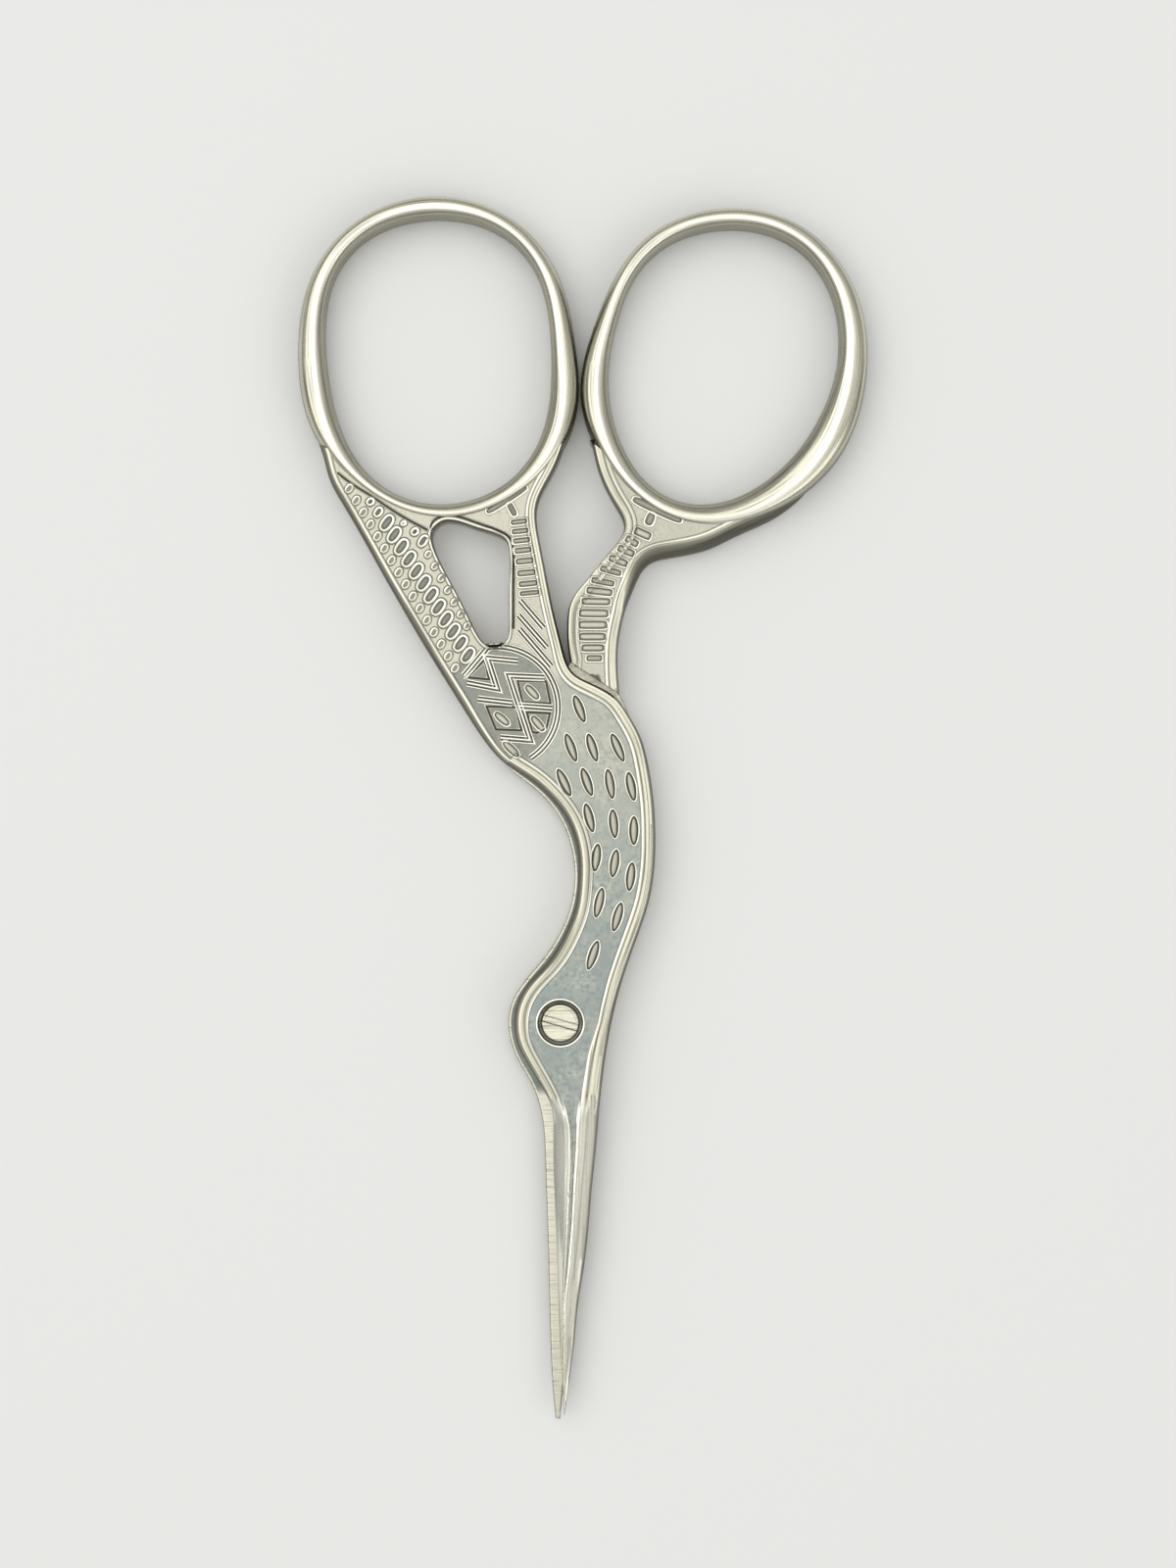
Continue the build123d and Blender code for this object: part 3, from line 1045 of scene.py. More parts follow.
REAR_BAND = (
    (755, 212), (790, 217), (812, 226), (833, 240), (853, 260), (866, 280), (875.5, 300), (882, 320),
    (886, 340), (886.8, 360), (885.5, 380), (883, 400), (878.5, 420), (871, 440), (861, 460), (848, 480),
    (828, 499), (800, 515), (770, 529), (740, 536), (708, 535), (680, 525), (655, 510), (632, 491),
    (611, 463), (599, 432), (592.5, 400), (593.5, 380), (597.5, 360), (604, 340), (610, 320), (619, 300),
    (642, 260), (661, 240), (690, 223), (722, 213.5),
)

WING_EDGE = (
    (325, 452), (328.5, 461), (331, 470), (333, 480), (336, 490), (341, 500), (347, 510), (359, 530),
    (376, 560), (393, 590.5), (410, 620), (431, 656), (452, 690), (472, 722), (488, 747), (501, 765),
    (509, 774), (517, 780.5),
)
BELLY_EDGE = (
    (517, 780.5), (526, 786.5), (537, 793), (547, 800), (557, 809), (567, 820), (576, 831.5), (583, 845),
    (588, 862), (590.3, 880), (590, 900), (586, 930), (578, 950), (567, 971), (551, 990), (541, 1000),
    (533.5, 1010), (528.5, 1020), (525.2, 1031), (524, 1044), (525.5, 1058), (529, 1070), (535, 1080.5),
    (547, 1100), (558, 1118), (563, 1129), (565, 1142), (565, 1153), (565, 1190), (566.7, 1233),
    (569, 1293), (571, 1360), (573, 1400), (575, 1430), (575.4, 1446),
)
BREAST_EDGE = (
    (576.2, 1446), (578.5, 1432), (580, 1420), (583, 1397), (586.7, 1367), (589, 1340), (594.5, 1304),
    (600, 1262), (603.5, 1219), (608.5, 1171), (612, 1130), (616.5, 1090), (623, 1050), (634, 1005),
    (650.5, 957), (658, 936), (663, 919), (666.5, 900), (668.5, 883), (669.2, 855), (668.5, 830),
    (666.5, 809), (663.5, 789), (660, 771), (654, 751), (647, 738), (639, 725), (632, 714), (622, 706),
    (611, 700.5), (598.6, 694.5), (586, 689), (580, 681), (575, 664), (571.5, 650), (564, 619),
    (555.5, 576), (548.5, 540), (547.5, 516), (552, 504), (561, 488), (571, 468), (577, 450),
)
LEG_GAP = (
    (446, 536.5), (453, 532.2), (462, 531.8), (485, 538.5), (508, 546), (516.5, 551.5), (519.5, 561),
    (519.5, 600), (519.5, 640), (517, 653), (509, 659.5), (498, 659), (489, 650), (478, 629), (460, 594),
    (444.5, 563), (441, 551), (441.6, 542),
)
# Darkening across the blade, by place 0 to 3: painted shade at the cutting edge and on the falling side at
# the spine, thin dark lines at the facet creases, and streaks in the groove.
BLADE_DARK = (
    (0, 0.35), (0.16, 0.2), (0.26, 0.0), (0.84, 0.0), (0.88, 0.4), (0.92, 0.0), (1, 0.0), (1.1, 0.25),
    (1.3, 0.08), (1.5, 0.25), (1.7, 0.08), (1.9, 0.2), (2.0, 0.0), (2.11, 0.0), (2.14, 0.4), (2.17, 0.0),
    (2.28, 0.0), (2.31, 0.3), (2.34, 0.0), (2.42, 0.05), (2.45, 0.45), (2.48, 0.05), (2.82, 0.1),
    (2.88, 0.6), (3.0, 0.85),
)
# Painted highlights across the blade, by place 0 to 3: at the cutting edge, near the bevel's crest and along
# the groove's two sides.
BLADE_BRIGHT = (
    (0, 0.6), (0.65, 0.7), (0.7, 1.0), (0.78, 0.9), (0.82, 0.3), (0.95, 0.2), (1, 1.0), (1.06, 0),
    (1.94, 0.0), (2.0, 1.0), (2.06, 0.7), (2.12, 0), (3, 0),
)
FRONT_UNDER_BAND = (
    (577, 450), (560, 466), (540, 487), (505, 508), (450, 521), (400, 508), (365, 486), (338, 460),
)
LAP_LINE = ((517, 780.5), (579.5, 680))

REAR_LEG_LEFT = (
    (604, 447), (607, 463), (613, 484), (621.5, 503), (630, 517.5), (637, 530), (638.5, 538), (633, 549),
    (624, 560), (610, 577), (597, 593), (585.5, 607), (580.5, 618), (578.8, 634), (579, 655), (582, 675),
)
REAR_LEG_RIGHT = (
    (632.5, 708), (631, 690), (630.5, 670), (632, 650), (635, 635), (639.5, 618), (647, 600), (652, 588),
    (658, 578), (667, 571.5), (680, 568.5), (700, 565), (725, 558.5), (747, 548), (773, 536.4),
    (795, 525.3), (808, 516), (820, 505.5), (831, 492),
)
REAR_UNDER_BAND = (
    (831, 492), (826, 488), (790, 508), (757, 520), (722, 525), (690, 520), (655, 500), (625, 470),
    (602, 450),
)
REAR_LOW_LEFT = (
    (521.5, 787), (533, 795.5), (544, 803.5), (554, 812.5), (563, 822.5), (570, 832.5), (576, 843.5),
    (581, 857), (584.5, 871), (586.5, 886), (586.7, 900), (585.2, 914), (582, 928), (575.5, 945),
    (565, 965), (550, 985), (538, 999), (530, 1009.5), (523.5, 1020), (519.2, 1032), (518, 1044),
    (519, 1056.5), (522, 1069), (527, 1081.5), (540, 1103), (546.5, 1117), (551, 1132), (554, 1148),
    (555.6, 1171), (556.4, 1191), (557.6, 1230), (559, 1270), (560.4, 1327), (562, 1385), (564, 1420),
    (567, 1451),
)
REAR_LOW_RIGHT = (
    (572, 1451.5), (574, 1430), (578, 1390), (583, 1350), (589, 1300), (595, 1250), (600, 1200),
    (606, 1130), (617, 1060), (630, 1000), (646, 940), (657, 900), (660.5, 860), (660, 810), (654, 768),
    (645, 738), (640, 722), (633, 709), (626, 694), (612, 680),
)
REAR_LAP = ((612, 680), (583, 675), (521.5, 787))


GROOVE_LEFT = (
    (548, 1080), (562, 1100), (567, 1109), (574, 1123), (578.5, 1135), (581, 1147), (582, 1160),
    (582.2, 1187), (581, 1213), (579.5, 1250), (577, 1290), (574.5, 1330), (574.5, 1400), (575.5, 1446),
)
GROOVE_RIGHT = (
    (604, 1080), (598, 1099), (594.5, 1114), (591, 1127), (589, 1140), (588.5, 1155), (588, 1173),
    (586, 1200), (585, 1220), (583.5, 1250), (580, 1290), (576, 1330), (575, 1400), (575.8, 1446),
)
FACET_PLACES = (
    0.33, 0.7, 0.84, 0.88, 0.93, 1.0, 1.06, 1.12, 1.3, 1.7, 1.88, 1.94, 2.0, 2.07, 2.14, 2.3, 2.45, 2.85,
)
FACET_RISE = (
    (0, 0), (0.33, 0.42), (0.7, 0.83), (0.93, 0.99), (1.0, 0.97), (1.3, 0.9), (1.7, 0.9), (2.0, 0.97),
    (2.07, 1.0), (2.45, 0.97), (2.85, 0.88), (3.0, 0.5),
)
WING_WIDTHS = (((25, 0.4), (30, 0.62), (48, 0.55)), ((0, 0.24),))
BELLY_WIDTHS = (((-9, 0.25), (0, 0.5), (20, 0.52)), ((-9, 0.7), (0, 0.85), (20, 0.8)))
BREAST_WIDTHS = (
    ((-8, 0.25), (0, 0.38), (18, 0.33), (36, 0.2)),
    ((-7, 1.52), (-3, 1.3), (0, 0.85), (4, 0.95), (31, 0.95), (35, 0.75)),
)
GAP_WIDTHS = (((0, 0.12),), ((0, 0.17),))
LEG_LEFT_WIDTHS = (((0, 0.18),), ((0, 0.92),))
LEG_RIGHT_WIDTHS = (((38.5, 0.26), (43.2, 1.2)), ((38.5, 0.9), (43.2, 0.22)))
LOW_WIDTHS = (((0, 0.16),), ((0, 0.3),))
TAIL_WIDTHS = (((0, 0.1),), ((0, 0.2),))


@dataclass
class FrontPlate(Plate):
    """Tail, front leg, body, head and upper blade, over the lapped face."""

    lap_z: float = 1.92
    heel_y: float = -7.4
    tip_y: float = -37.4
    facets_from: tuple = (6.8, 9.8)
    polished_from: tuple = (6.6, 8.4)
    streaks_from: tuple = (8.5, 12.0)
    groove_wears: tuple = (9.6, 13.0)
    groove_polish: float = 0.4
    groove_ends: tuple = (22.0, 27.0)
    groove_sides: tuple = ((0.98, 1.08), (1.92, 2.02))
    shield_oxide: float = 0.3
    shield_warm: float = 0.35
    crests: tuple = (1.84, 0.84)
    edges: tuple = (0.8, 0.3)
    spines: tuple = (1.35, 0.45)

    def __post_init__(self) -> None:
        """Works out the outlines and their rims."""
        wing, belly, breast = [eased(spline(PHOTO.mm(p))) for p in (WING_EDGE, BELLY_EDGE, BREAST_EDGE)]
        under = spline(PHOTO.mm(FRONT_UNDER_BAND))
        gap = spline(PHOTO.mm(LEG_GAP), closed=True)[::-1]
        self.loops = [joined(wing, belly, breast, under), gap, circle((0, 0), SEAT.hole)[::-1]]
        self.rims = [
            Rim(wing, *WING_WIDTHS),
            Rim(belly, *BELLY_WIDTHS),
            Rim(breast, *BREAST_WIDTHS),
            Rim(ring_path(gap), *GAP_WIDTHS),
        ]
        self.bottom = self.lap_z
        self.belly = belly
        self.breast = breast[np.argsort(-breast[:, 1])]
        self.grooves = [PHOTO.mm(line) for line in (GROOVE_LEFT, GROOVE_RIGHT)]

    def blade_lines(self, y: np.ndarray) -> np.ndarray:
        """Places in x of the cutting edge, the groove's two sides and the spine, at places y."""
        edge, left, right, spine = [
            np.interp(-y, -line[:, 1], line[:, 0]) for line in (self.belly, *self.grooves, self.breast)
        ]
        return np.array([edge, left, np.maximum(right, left + 0.02), spine])

    def across_blade(self, points: np.ndarray) -> np.ndarray:
        """Places across the blade: 0 at the cutting edge, 1 and 2 at the groove's sides, 3 at the spine.

        Args:
            points: Rows of x and y, in millimetres.

        Returns:
            One place for each point, 0 to 3.
        """
        lines = np.maximum.accumulate(self.blade_lines(points[:, 1]), axis=0)
        x = points[:, 0]
        place = np.zeros(len(points))
        for number in range(3):
            width = np.maximum(lines[number + 1] - lines[number], 1e-3)
            place += np.clip((x - lines[number]) / width, 0, 1)
        return place

    def blade_height(self, points: np.ndarray) -> np.ndarray:
        """Height of the blade's facets: a bevel, a crest, a shallow groove, and two flats to the spine.

        Args:
            points: Rows of x and y, in millimetres.

        Returns:
            One height for each point.
        """
        taper = np.clip((self.heel_y - points[:, 1]) / (self.heel_y - self.tip_y), 0, 1)
        crest, edge, spine = [tapered(heights, taper) for heights in (self.crests, self.edges, self.spines)]
        place = self.across_blade(points)
        rise = interpolated(place, FACET_RISE)
        floor = np.where(place < 1.5, edge, spine * 0.4)
        return self.lap_z + floor + (crest - floor) * rise

    def top(self, points: np.ndarray, place: RimPlace | None = None) -> np.ndarray:
        """The rimmed plate, passing into the blade's facets below the head."""
        plain = super().top(points, place)
        share = smoothstep(-points[:, 1], *self.facets_from)
        return plain + (self.blade_height(points) - plain) * share

    def finish(self, points: np.ndarray, place: RimPlace) -> dict:
        """The plate's values, with the blade polished all over but for its groove, and painted shade and
        painted highlights across the blade.

        Args:
            points: Rows of x and y, in millimetres.
            place: Where the points lie against the rims.

        Returns:
            The finish values by name.
        """
        values = super().finish(points, place)
        down = -points[:, 1]
        share = smoothstep(down, *self.polished_from)
        across = self.across_blade(points)
        fade = 1 - smoothstep(down, *self.groove_ends)
        near_side, far_side = self.groove_sides
        groove = smoothstep(across, *near_side) * (1 - smoothstep(across, *far_side))
        worn = np.maximum(self.groove_polish * smoothstep(down, *self.groove_wears), 1 - fade)
        # Painted shade and dark lines from BLADE_DARK; painted highlights from BLADE_BRIGHT, with a fainter
        # one over the blade outside the groove.
        dark = interpolated(across, BLADE_DARK)
        blade_highlights = interpolated(across, BLADE_BRIGHT)
        streaks = fade * smoothstep(down, *self.streaks_from)
        blade = {
            "polish": 1 - groove * (1 - worn),
            "oxide": np.where((across > 1) & (across < 2), dark * streaks, dark),
            "bright": 0.4 * (1 - groove * fade) + 0.6 * blade_highlights * (0.4 + 0.6 * fade),
            "along": points[:, 1],
            "across": points[:, 0],
        }
        for key in ("polish", "oxide", "bright"):
            values[key] = values[key] + (blade[key] - values[key]) * share
        for key in ("along", "across"):
            values[key] = np.where(share > 0, blade[key], values[key])
        from_centre = np.linalg.norm(points - PHOTO.mm([MEDALLION_CENTRE]), axis=1)
        shield = from_centre < MEDALLION_RADIUS * PHOTO.mm_per_pixel
        stain = self.shield_oxide * shield * (1 - values["polish"])
        values["oxide"] = np.maximum(values["oxide"], stain)
        values["warm"] = np.where(shield, self.shield_warm, values["warm"])
        return values

    def warmth(self, points: np.ndarray) -> np.ndarray:
        """The wing's ground is warmest, and the body's cools towards the head."""
        wing = smoothstep(points[:, 1] * 0.5 - points[:, 0], 14.5, 17.5)
        return np.maximum(wing, 0.4 * smoothstep(points[:, 1], 4, 30))

    def extra(self) -> np.ndarray | None:
        """Points in rows along the blade, on each of its facet lines.

        Returns:
            The further points.
        """
        y = np.arange(-3.8, self.tip_y + 0.15, -0.22)
        lines = self.blade_lines(y)
        x = np.array([np.interp(FACET_PLACES, (0, 1, 2, 3), column) for column in lines.T])
        points = np.column_stack([x.ravel(), np.repeat(y, len(FACET_PLACES))])
        return points[points[:, 1] < -6.5]


@dataclass
class FrontHalf:
    """The half with the left bow: its upper plate, the full-depth tail and leg, and the bow."""

    bow: FingerBow = field(default_factory=lambda: FingerBow(FRONT_HOLE, FRONT_BAND, -1.45))
    plate: FrontPlate = field(default_factory=FrontPlate)

    def build(self) -> None:
        """Builds the half in place of its plain node."""
        shell = Shell()
        self.plate.add_to(shell)
        self.bow.add_to(shell)
        self.tail_under().add_to(shell)
        SEAT.add_to(shell)
        piece = shell.make("front_half_dressed", FRONT_STEEL, Body.FRONT, "front_steel")
        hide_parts("front_half")

    def tail_under(self) -> Plate:
        """The lower part of the tail and leg, from the resting plane up into the plate.

        Returns:
            The lower part as a plate of its own.
        """
        wing, _, breast, ring = [rim.path for rim in self.plate.rims]
        shoulder = PHOTO.mm([LAP_LINE[1]])[0]
        first = np.linalg.norm(breast - shoulder, axis=1).argmin()
        leg = breast[first:]
        under = spline(PHOTO.mm(FRONT_UNDER_BAND))
        lap = straight(np.vstack([wing[-1], leg[0]]))
        top = self.plate.lap_z + 0.03
        profile = RimProfile(slope=0.05, side_bottom=top, crest=top, ground=top, droop=0, furrow_depth=0)
        rims = [Rim(path, *TAIL_WIDTHS) for path in (wing, leg, ring)]
        return FlatPlate([joined(wing, lap, leg, under), self.plate.loops[1]], rims, profile, step=1.2)


class FlatPlate(Plate):
    """A plate with a level top, polished all over."""

    def top(self, points: np.ndarray, place: RimPlace | None = None) -> np.ndarray:
        """The level top."""
        return np.full(len(points), self.profile.crest)

    def finish(self, points: np.ndarray, place: RimPlace) -> dict:
        """Worn steel, darkened all over: painted shade on the sides."""
        return dict(super().finish(points, place), polish=1.0, oxide=0.6, bright=0.0)


@dataclass
class RearLegPlate(Plate):
    """The rear leg and the arm that carries the right bow, at full thickness."""

    profile: RimProfile = field(default_factory=lambda: RimProfile(side_bottom=1.6))

    def __post_init__(self) -> None:
        """Works out the outline and its rims."""
        left, right = [eased(spline(PHOTO.mm(p)), 12) for p in (REAR_LEG_LEFT, REAR_LEG_RIGHT)]
        cut = straight(np.vstack([left[-1], right[0]]))
        self.loops = [joined(left, cut, right, spline(PHOTO.mm(REAR_UNDER_BAND)))]
        self.rims = [Rim(left, *LEG_LEFT_WIDTHS), Rim(right, *LEG_RIGHT_WIDTHS)]

    def warmth(self, points: np.ndarray) -> np.ndarray:
        """The leg and the arm are warm all over."""
        return np.full(len(points), 0.75)


@dataclass
class RearLowPlate(Plate):
    """The lapped lower body, head and blade of the rear half."""

    step: float = 0.9
    bottom: float = 0.02
    bottom_round: float = 0.4
    top_round: float = 0.16
    top_drop: float = 0.12
    lap_z: float = 1.88
    edge_slope: float = 0.1
    edge_height: float = 0.2
    bore: float = 0.96
    heel_y: float = -9.5
    tip_y: float = -37.5
    ground_from: tuple = (6.0, 7.2)
    # Reach of the polished edge, which is partly wear and partly painted highlight.
    edge_band: tuple = (0.2, 0.3)
    shoulder_from: tuple = (29.5, 30.5)
    ridge_reaches: tuple = (1.5, 0.4)
    blade_depths: tuple = (1.75, 0.75)
    # Strength of the painted shadow on the lapped face, the blade flat's darkening, the painted shade by the
    # shoulder and the blade flat's painted highlight.
    lap_shadow_tone: float = 0.3
    blade_tone: float = 0.1
    shoulder_shade_tone: float = 0.25
    blade_flat_highlight: float = 0.15
    line_scale: tuple = (4, 2.3)

    def __post_init__(self) -> None:
        """Works out the outline and its rims."""
        top = self.lap_z
        side = top - self.edge_height
        self.profile = RimProfile(slope=self.edge_slope, side_bottom=side, crest=top, ground=top)
        left, right = [eased(spline(PHOTO.mm(p))) for p in (REAR_LOW_LEFT, REAR_LOW_RIGHT)]
        lap = straight(PHOTO.mm(REAR_LAP))
        self.loops = [joined(left, right, lap), circle((0, 0), self.bore)[::-1]]
        self.rims = [Rim(path, *LOW_WIDTHS) for path in (left, right)]

    def top(self, points: np.ndarray, place: RimPlace | None = None) -> np.ndarray:
        """The lapped face: level, with a small round along its edges.

        Args:
            points: Rows of x and y, in millimetres.
            place: Where the points lie against the rims.

        Returns:
            One height for each point.
        """
        place = place or self.place(points)
        round_off = np.clip(1 - place.distance / self.top_round, 0, 1)
        return self.lap_z - self.top_drop * round_off**2

    def under(self, points: np.ndarray, place: RimPlace) -> np.ndarray:
        """The bottom, rising along the blade to a thin tip, with a ridge along its middle.

        Args:
            points: Rows of x and y, in millimetres.
            place: Where the points lie against the rims.

        Returns:
            One height for each point.
        """
        taper = np.clip((self.heel_y - points[:, 1]) / (self.heel_y - self.tip_y), 0, 1)
        blade = smoothstep(-points[:, 1], -self.heel_y - 3, -self.heel_y)
        depth = np.clip(place.distance / tapered(self.ridge_reaches, taper), 0, 1)
        low = self.lap_z - tapered(self.blade_depths, taper) * (0.3 + 0.7 * depth)
        plain = super().under(points, place)
        return plain + (low - plain) * blade

    def finish(self, points: np.ndarray, place: RimPlace) -> dict:
        """A polished edge, partly wear and partly painted highlight; a lapped face darkened by painted
        shadow; painted shade on the polished strip by the shoulder; and a bright ground flat along the blade,
        slightly darkened, with a faint painted highlight.

        Args:
            points: Rows of x and y, in millimetres.
            place: Where the points lie against the rims.

        Returns:
            The finish values by name.
        """
        blade = smoothstep(-points[:, 1], *self.ground_from)
        # Polished edge: partly wear and partly painted highlight, kept clear of the painted shadow.
        edge = 1 - smoothstep(place.distance, *self.edge_band)
        shoulder = smoothstep(points[:, 1], *self.shoulder_from)
        worn = np.maximum.reduce([edge, blade, shoulder])
        # Painted shadow over the lapped face wherever it is not polished.
        painted_lap_shadow = self.lap_shadow_tone * (1 - worn)
        return {
            "polish": worn,
            # Painted shadow, a slight darkening of the blade flat, and painted shade on the strip by the
            # shoulder.
            "oxide": painted_lap_shadow + self.blade_tone * blade + self.shoulder_shade_tone * shoulder * (1 - edge),
            # Faint painted highlight on the blade flat.
            "bright": self.blade_flat_highlight * blade,
            "warm": np.zeros(len(points)),
            "along": points[:, 0] * self.line_scale[0],
            "across": points[:, 1] * self.line_scale[1],
        }


@dataclass
class RearHalf:
    """The half with the right bow: its leg and arm, its lapped lower layer and the bow."""

    bow: FingerBow = field(default_factory=lambda: FingerBow(REAR_HOLE, REAR_BAND, -1.7))
    leg: RearLegPlate = field(default_factory=RearLegPlate)
    low: RearLowPlate = field(default_factory=RearLowPlate)

    def build(self) -> None:
        """Builds the half in place of its plain node."""
        shell = Shell()
        self.leg.add_to(shell)
        self.low.add_to(shell)
        self.bow.add_to(shell)
        piece = shell.make("rear_half_dressed", REAR_STEEL, Body.REAR, "rear_steel")
        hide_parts("rear_half")


@dataclass
class ScrewHead(Plate):
    """The slotted head, in its seat: a flat disc with a rounded edge, worn across its slot."""

    step: float = 0.16
    bottom: float = 2.97
    bottom_round: float = 0.05
    radius: float = 1.78
    top_z: float = 3.74
    edge: float = 0.16
    edge_drop: float = 0.14
    slot_half: float = 0.31
    slot_wall: float = 0.035
    slot_depth: float = 0.24
    slot_turn: float = math.radians(-16)
    line_width: float = 0.06
    # Reach of the painted shade round the edge.
    edge_band: tuple = (0.03, 0.12)
    ring_place: float = 0.3
    ring_width: float = 0.05
    ring_from: tuple = (-0.4, 0.8)
    tones: tuple = (0.75, 0.5, 0.35)
    line_scale: tuple = (1.5, 0.8)

    def __post_init__(self) -> None:
        """Works out the outline and its rim."""
        outline = circle((0, 0), self.radius)
        self.loops = [outline]
        self.rims = [Rim(ring_path(outline), ((0, 0.12),), ((0, 0.2),))]
        top = self.top_z
        self.profile = RimProfile(
            slope=0.05, side_bottom=top - self.edge_drop, crest=top, ground=top, droop=0, furrow_depth=0
        )

    def from_slot(self, points: np.ndarray) -> np.ndarray:
        """Distance from the slot's middle line."""
        return np.abs(points @ np.array([-math.sin(self.slot_turn), math.cos(self.slot_turn)]))

    def top(self, points: np.ndarray, place: RimPlace | None = None) -> np.ndarray:
        """The disc, rounded by a parabola at its edge, less the slot.

        Args:
            points: Rows of x and y, in millimetres.
            place: Where the points lie against the rims.

        Returns:
            One height for each point.
        """
        place = place or self.place(points)
        z = self.top_z - self.edge_drop * np.clip(1 - place.distance / self.edge, 0, 1) ** 2
        wall = smoothstep(self.from_slot(points), self.slot_half - self.slot_wall, self.slot_half)
        return z - self.slot_depth * (1 - wall)

    def finish(self, points: np.ndarray, place: RimPlace) -> dict:
        """Worn bright, with a dark line down each side of the slot, painted shade round the edge, and a ring
        of painted shade inside the edge on the side towards the bows.

        Args:
            points: Rows of x and y, in millimetres.
            place: Where the points lie against the rims.

        Returns:
            The finish values by name.
        """
        away = self.from_slot(points) - self.slot_half + self.slot_wall / 2
        line = peak(away, 0.0, self.line_width)
        # Painted shade round the edge, and a painted shade ring inside it on the side towards the bows.
        edge = 1 - smoothstep(place.distance, *self.edge_band)
        lit = smoothstep(points[:, 1], *self.ring_from)
        ring = peak(place.distance, self.ring_place, self.ring_width) * lit
        line_tone, edge_shade_tone, ring_shade_tone = self.tones
        return {
            "polish": np.ones(len(points)),
            "oxide": np.clip(line_tone * line + edge_shade_tone * edge + ring_shade_tone * ring, 0, 0.9),
            "bright": np.zeros(len(points)),
            "warm": np.zeros(len(points)),
            "along": points[:, 0] * self.line_scale[0],
            "across": points[:, 1] * self.line_scale[1],
        }

    def extra(self) -> np.ndarray | None:
        """Rows of points down both walls of the slot.

        Returns:
            The further points.
        """
        run = np.array([math.cos(self.slot_turn), math.sin(self.slot_turn)])
        square = np.array([-run[1], run[0]])
        ways = np.arange(-self.radius, self.radius, 0.06)
        inset = self.slot_half - self.slot_wall * np.array([2.2, 1.0, 0.5, 0.0, -1.2])
        offsets = np.concatenate([inset, -inset])
        return (ways[:, None, None] * run + offsets[None, :, None] * square).reshape(-1, 2)


@dataclass
class PivotScrew:
    """The slotted screw that holds the halves: its head, its shoulder and its thread."""

    head: ScrewHead = field(default_factory=ScrewHead)
    shank: tuple = ((1.25, 2.98), (1.25, 1.9), (0.9, 1.9), (0.9, 0.12), (0.78, 0.0))

    def build(self) -> None:
        """Builds the screw."""
        shell = Shell()
        self.head.add_to(shell)
        rows = len(self.shank)
        ends = (self.shank[0][1], self.shank[-1][1])
        lathe(shell, np.array(self.shank), ends, np.ones(rows), np.full(rows, 0.25), np.zeros(rows), 48)
        piece = shell.make("pivot_screw_dressed", SCREW_STEEL, Body.REAR, "screw_steel")
        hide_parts("pivot_screw")


@dataclass(frozen=True)
class Relief:
    """Section of a mark: rows of inset from its outline, height over the ground, and finish values.

    The finish values of a row are polish, oxide and bright, the last a painted highlight on the lip. The
    painted highlight is brightest on the side that faces the lit direction, and loses the tilt's share of
    its brightness on the other.
    """

    rows: tuple
    warm: float = 0.0
    lit: tuple = (0.6, 0.8)
    tilt: float = 0.3


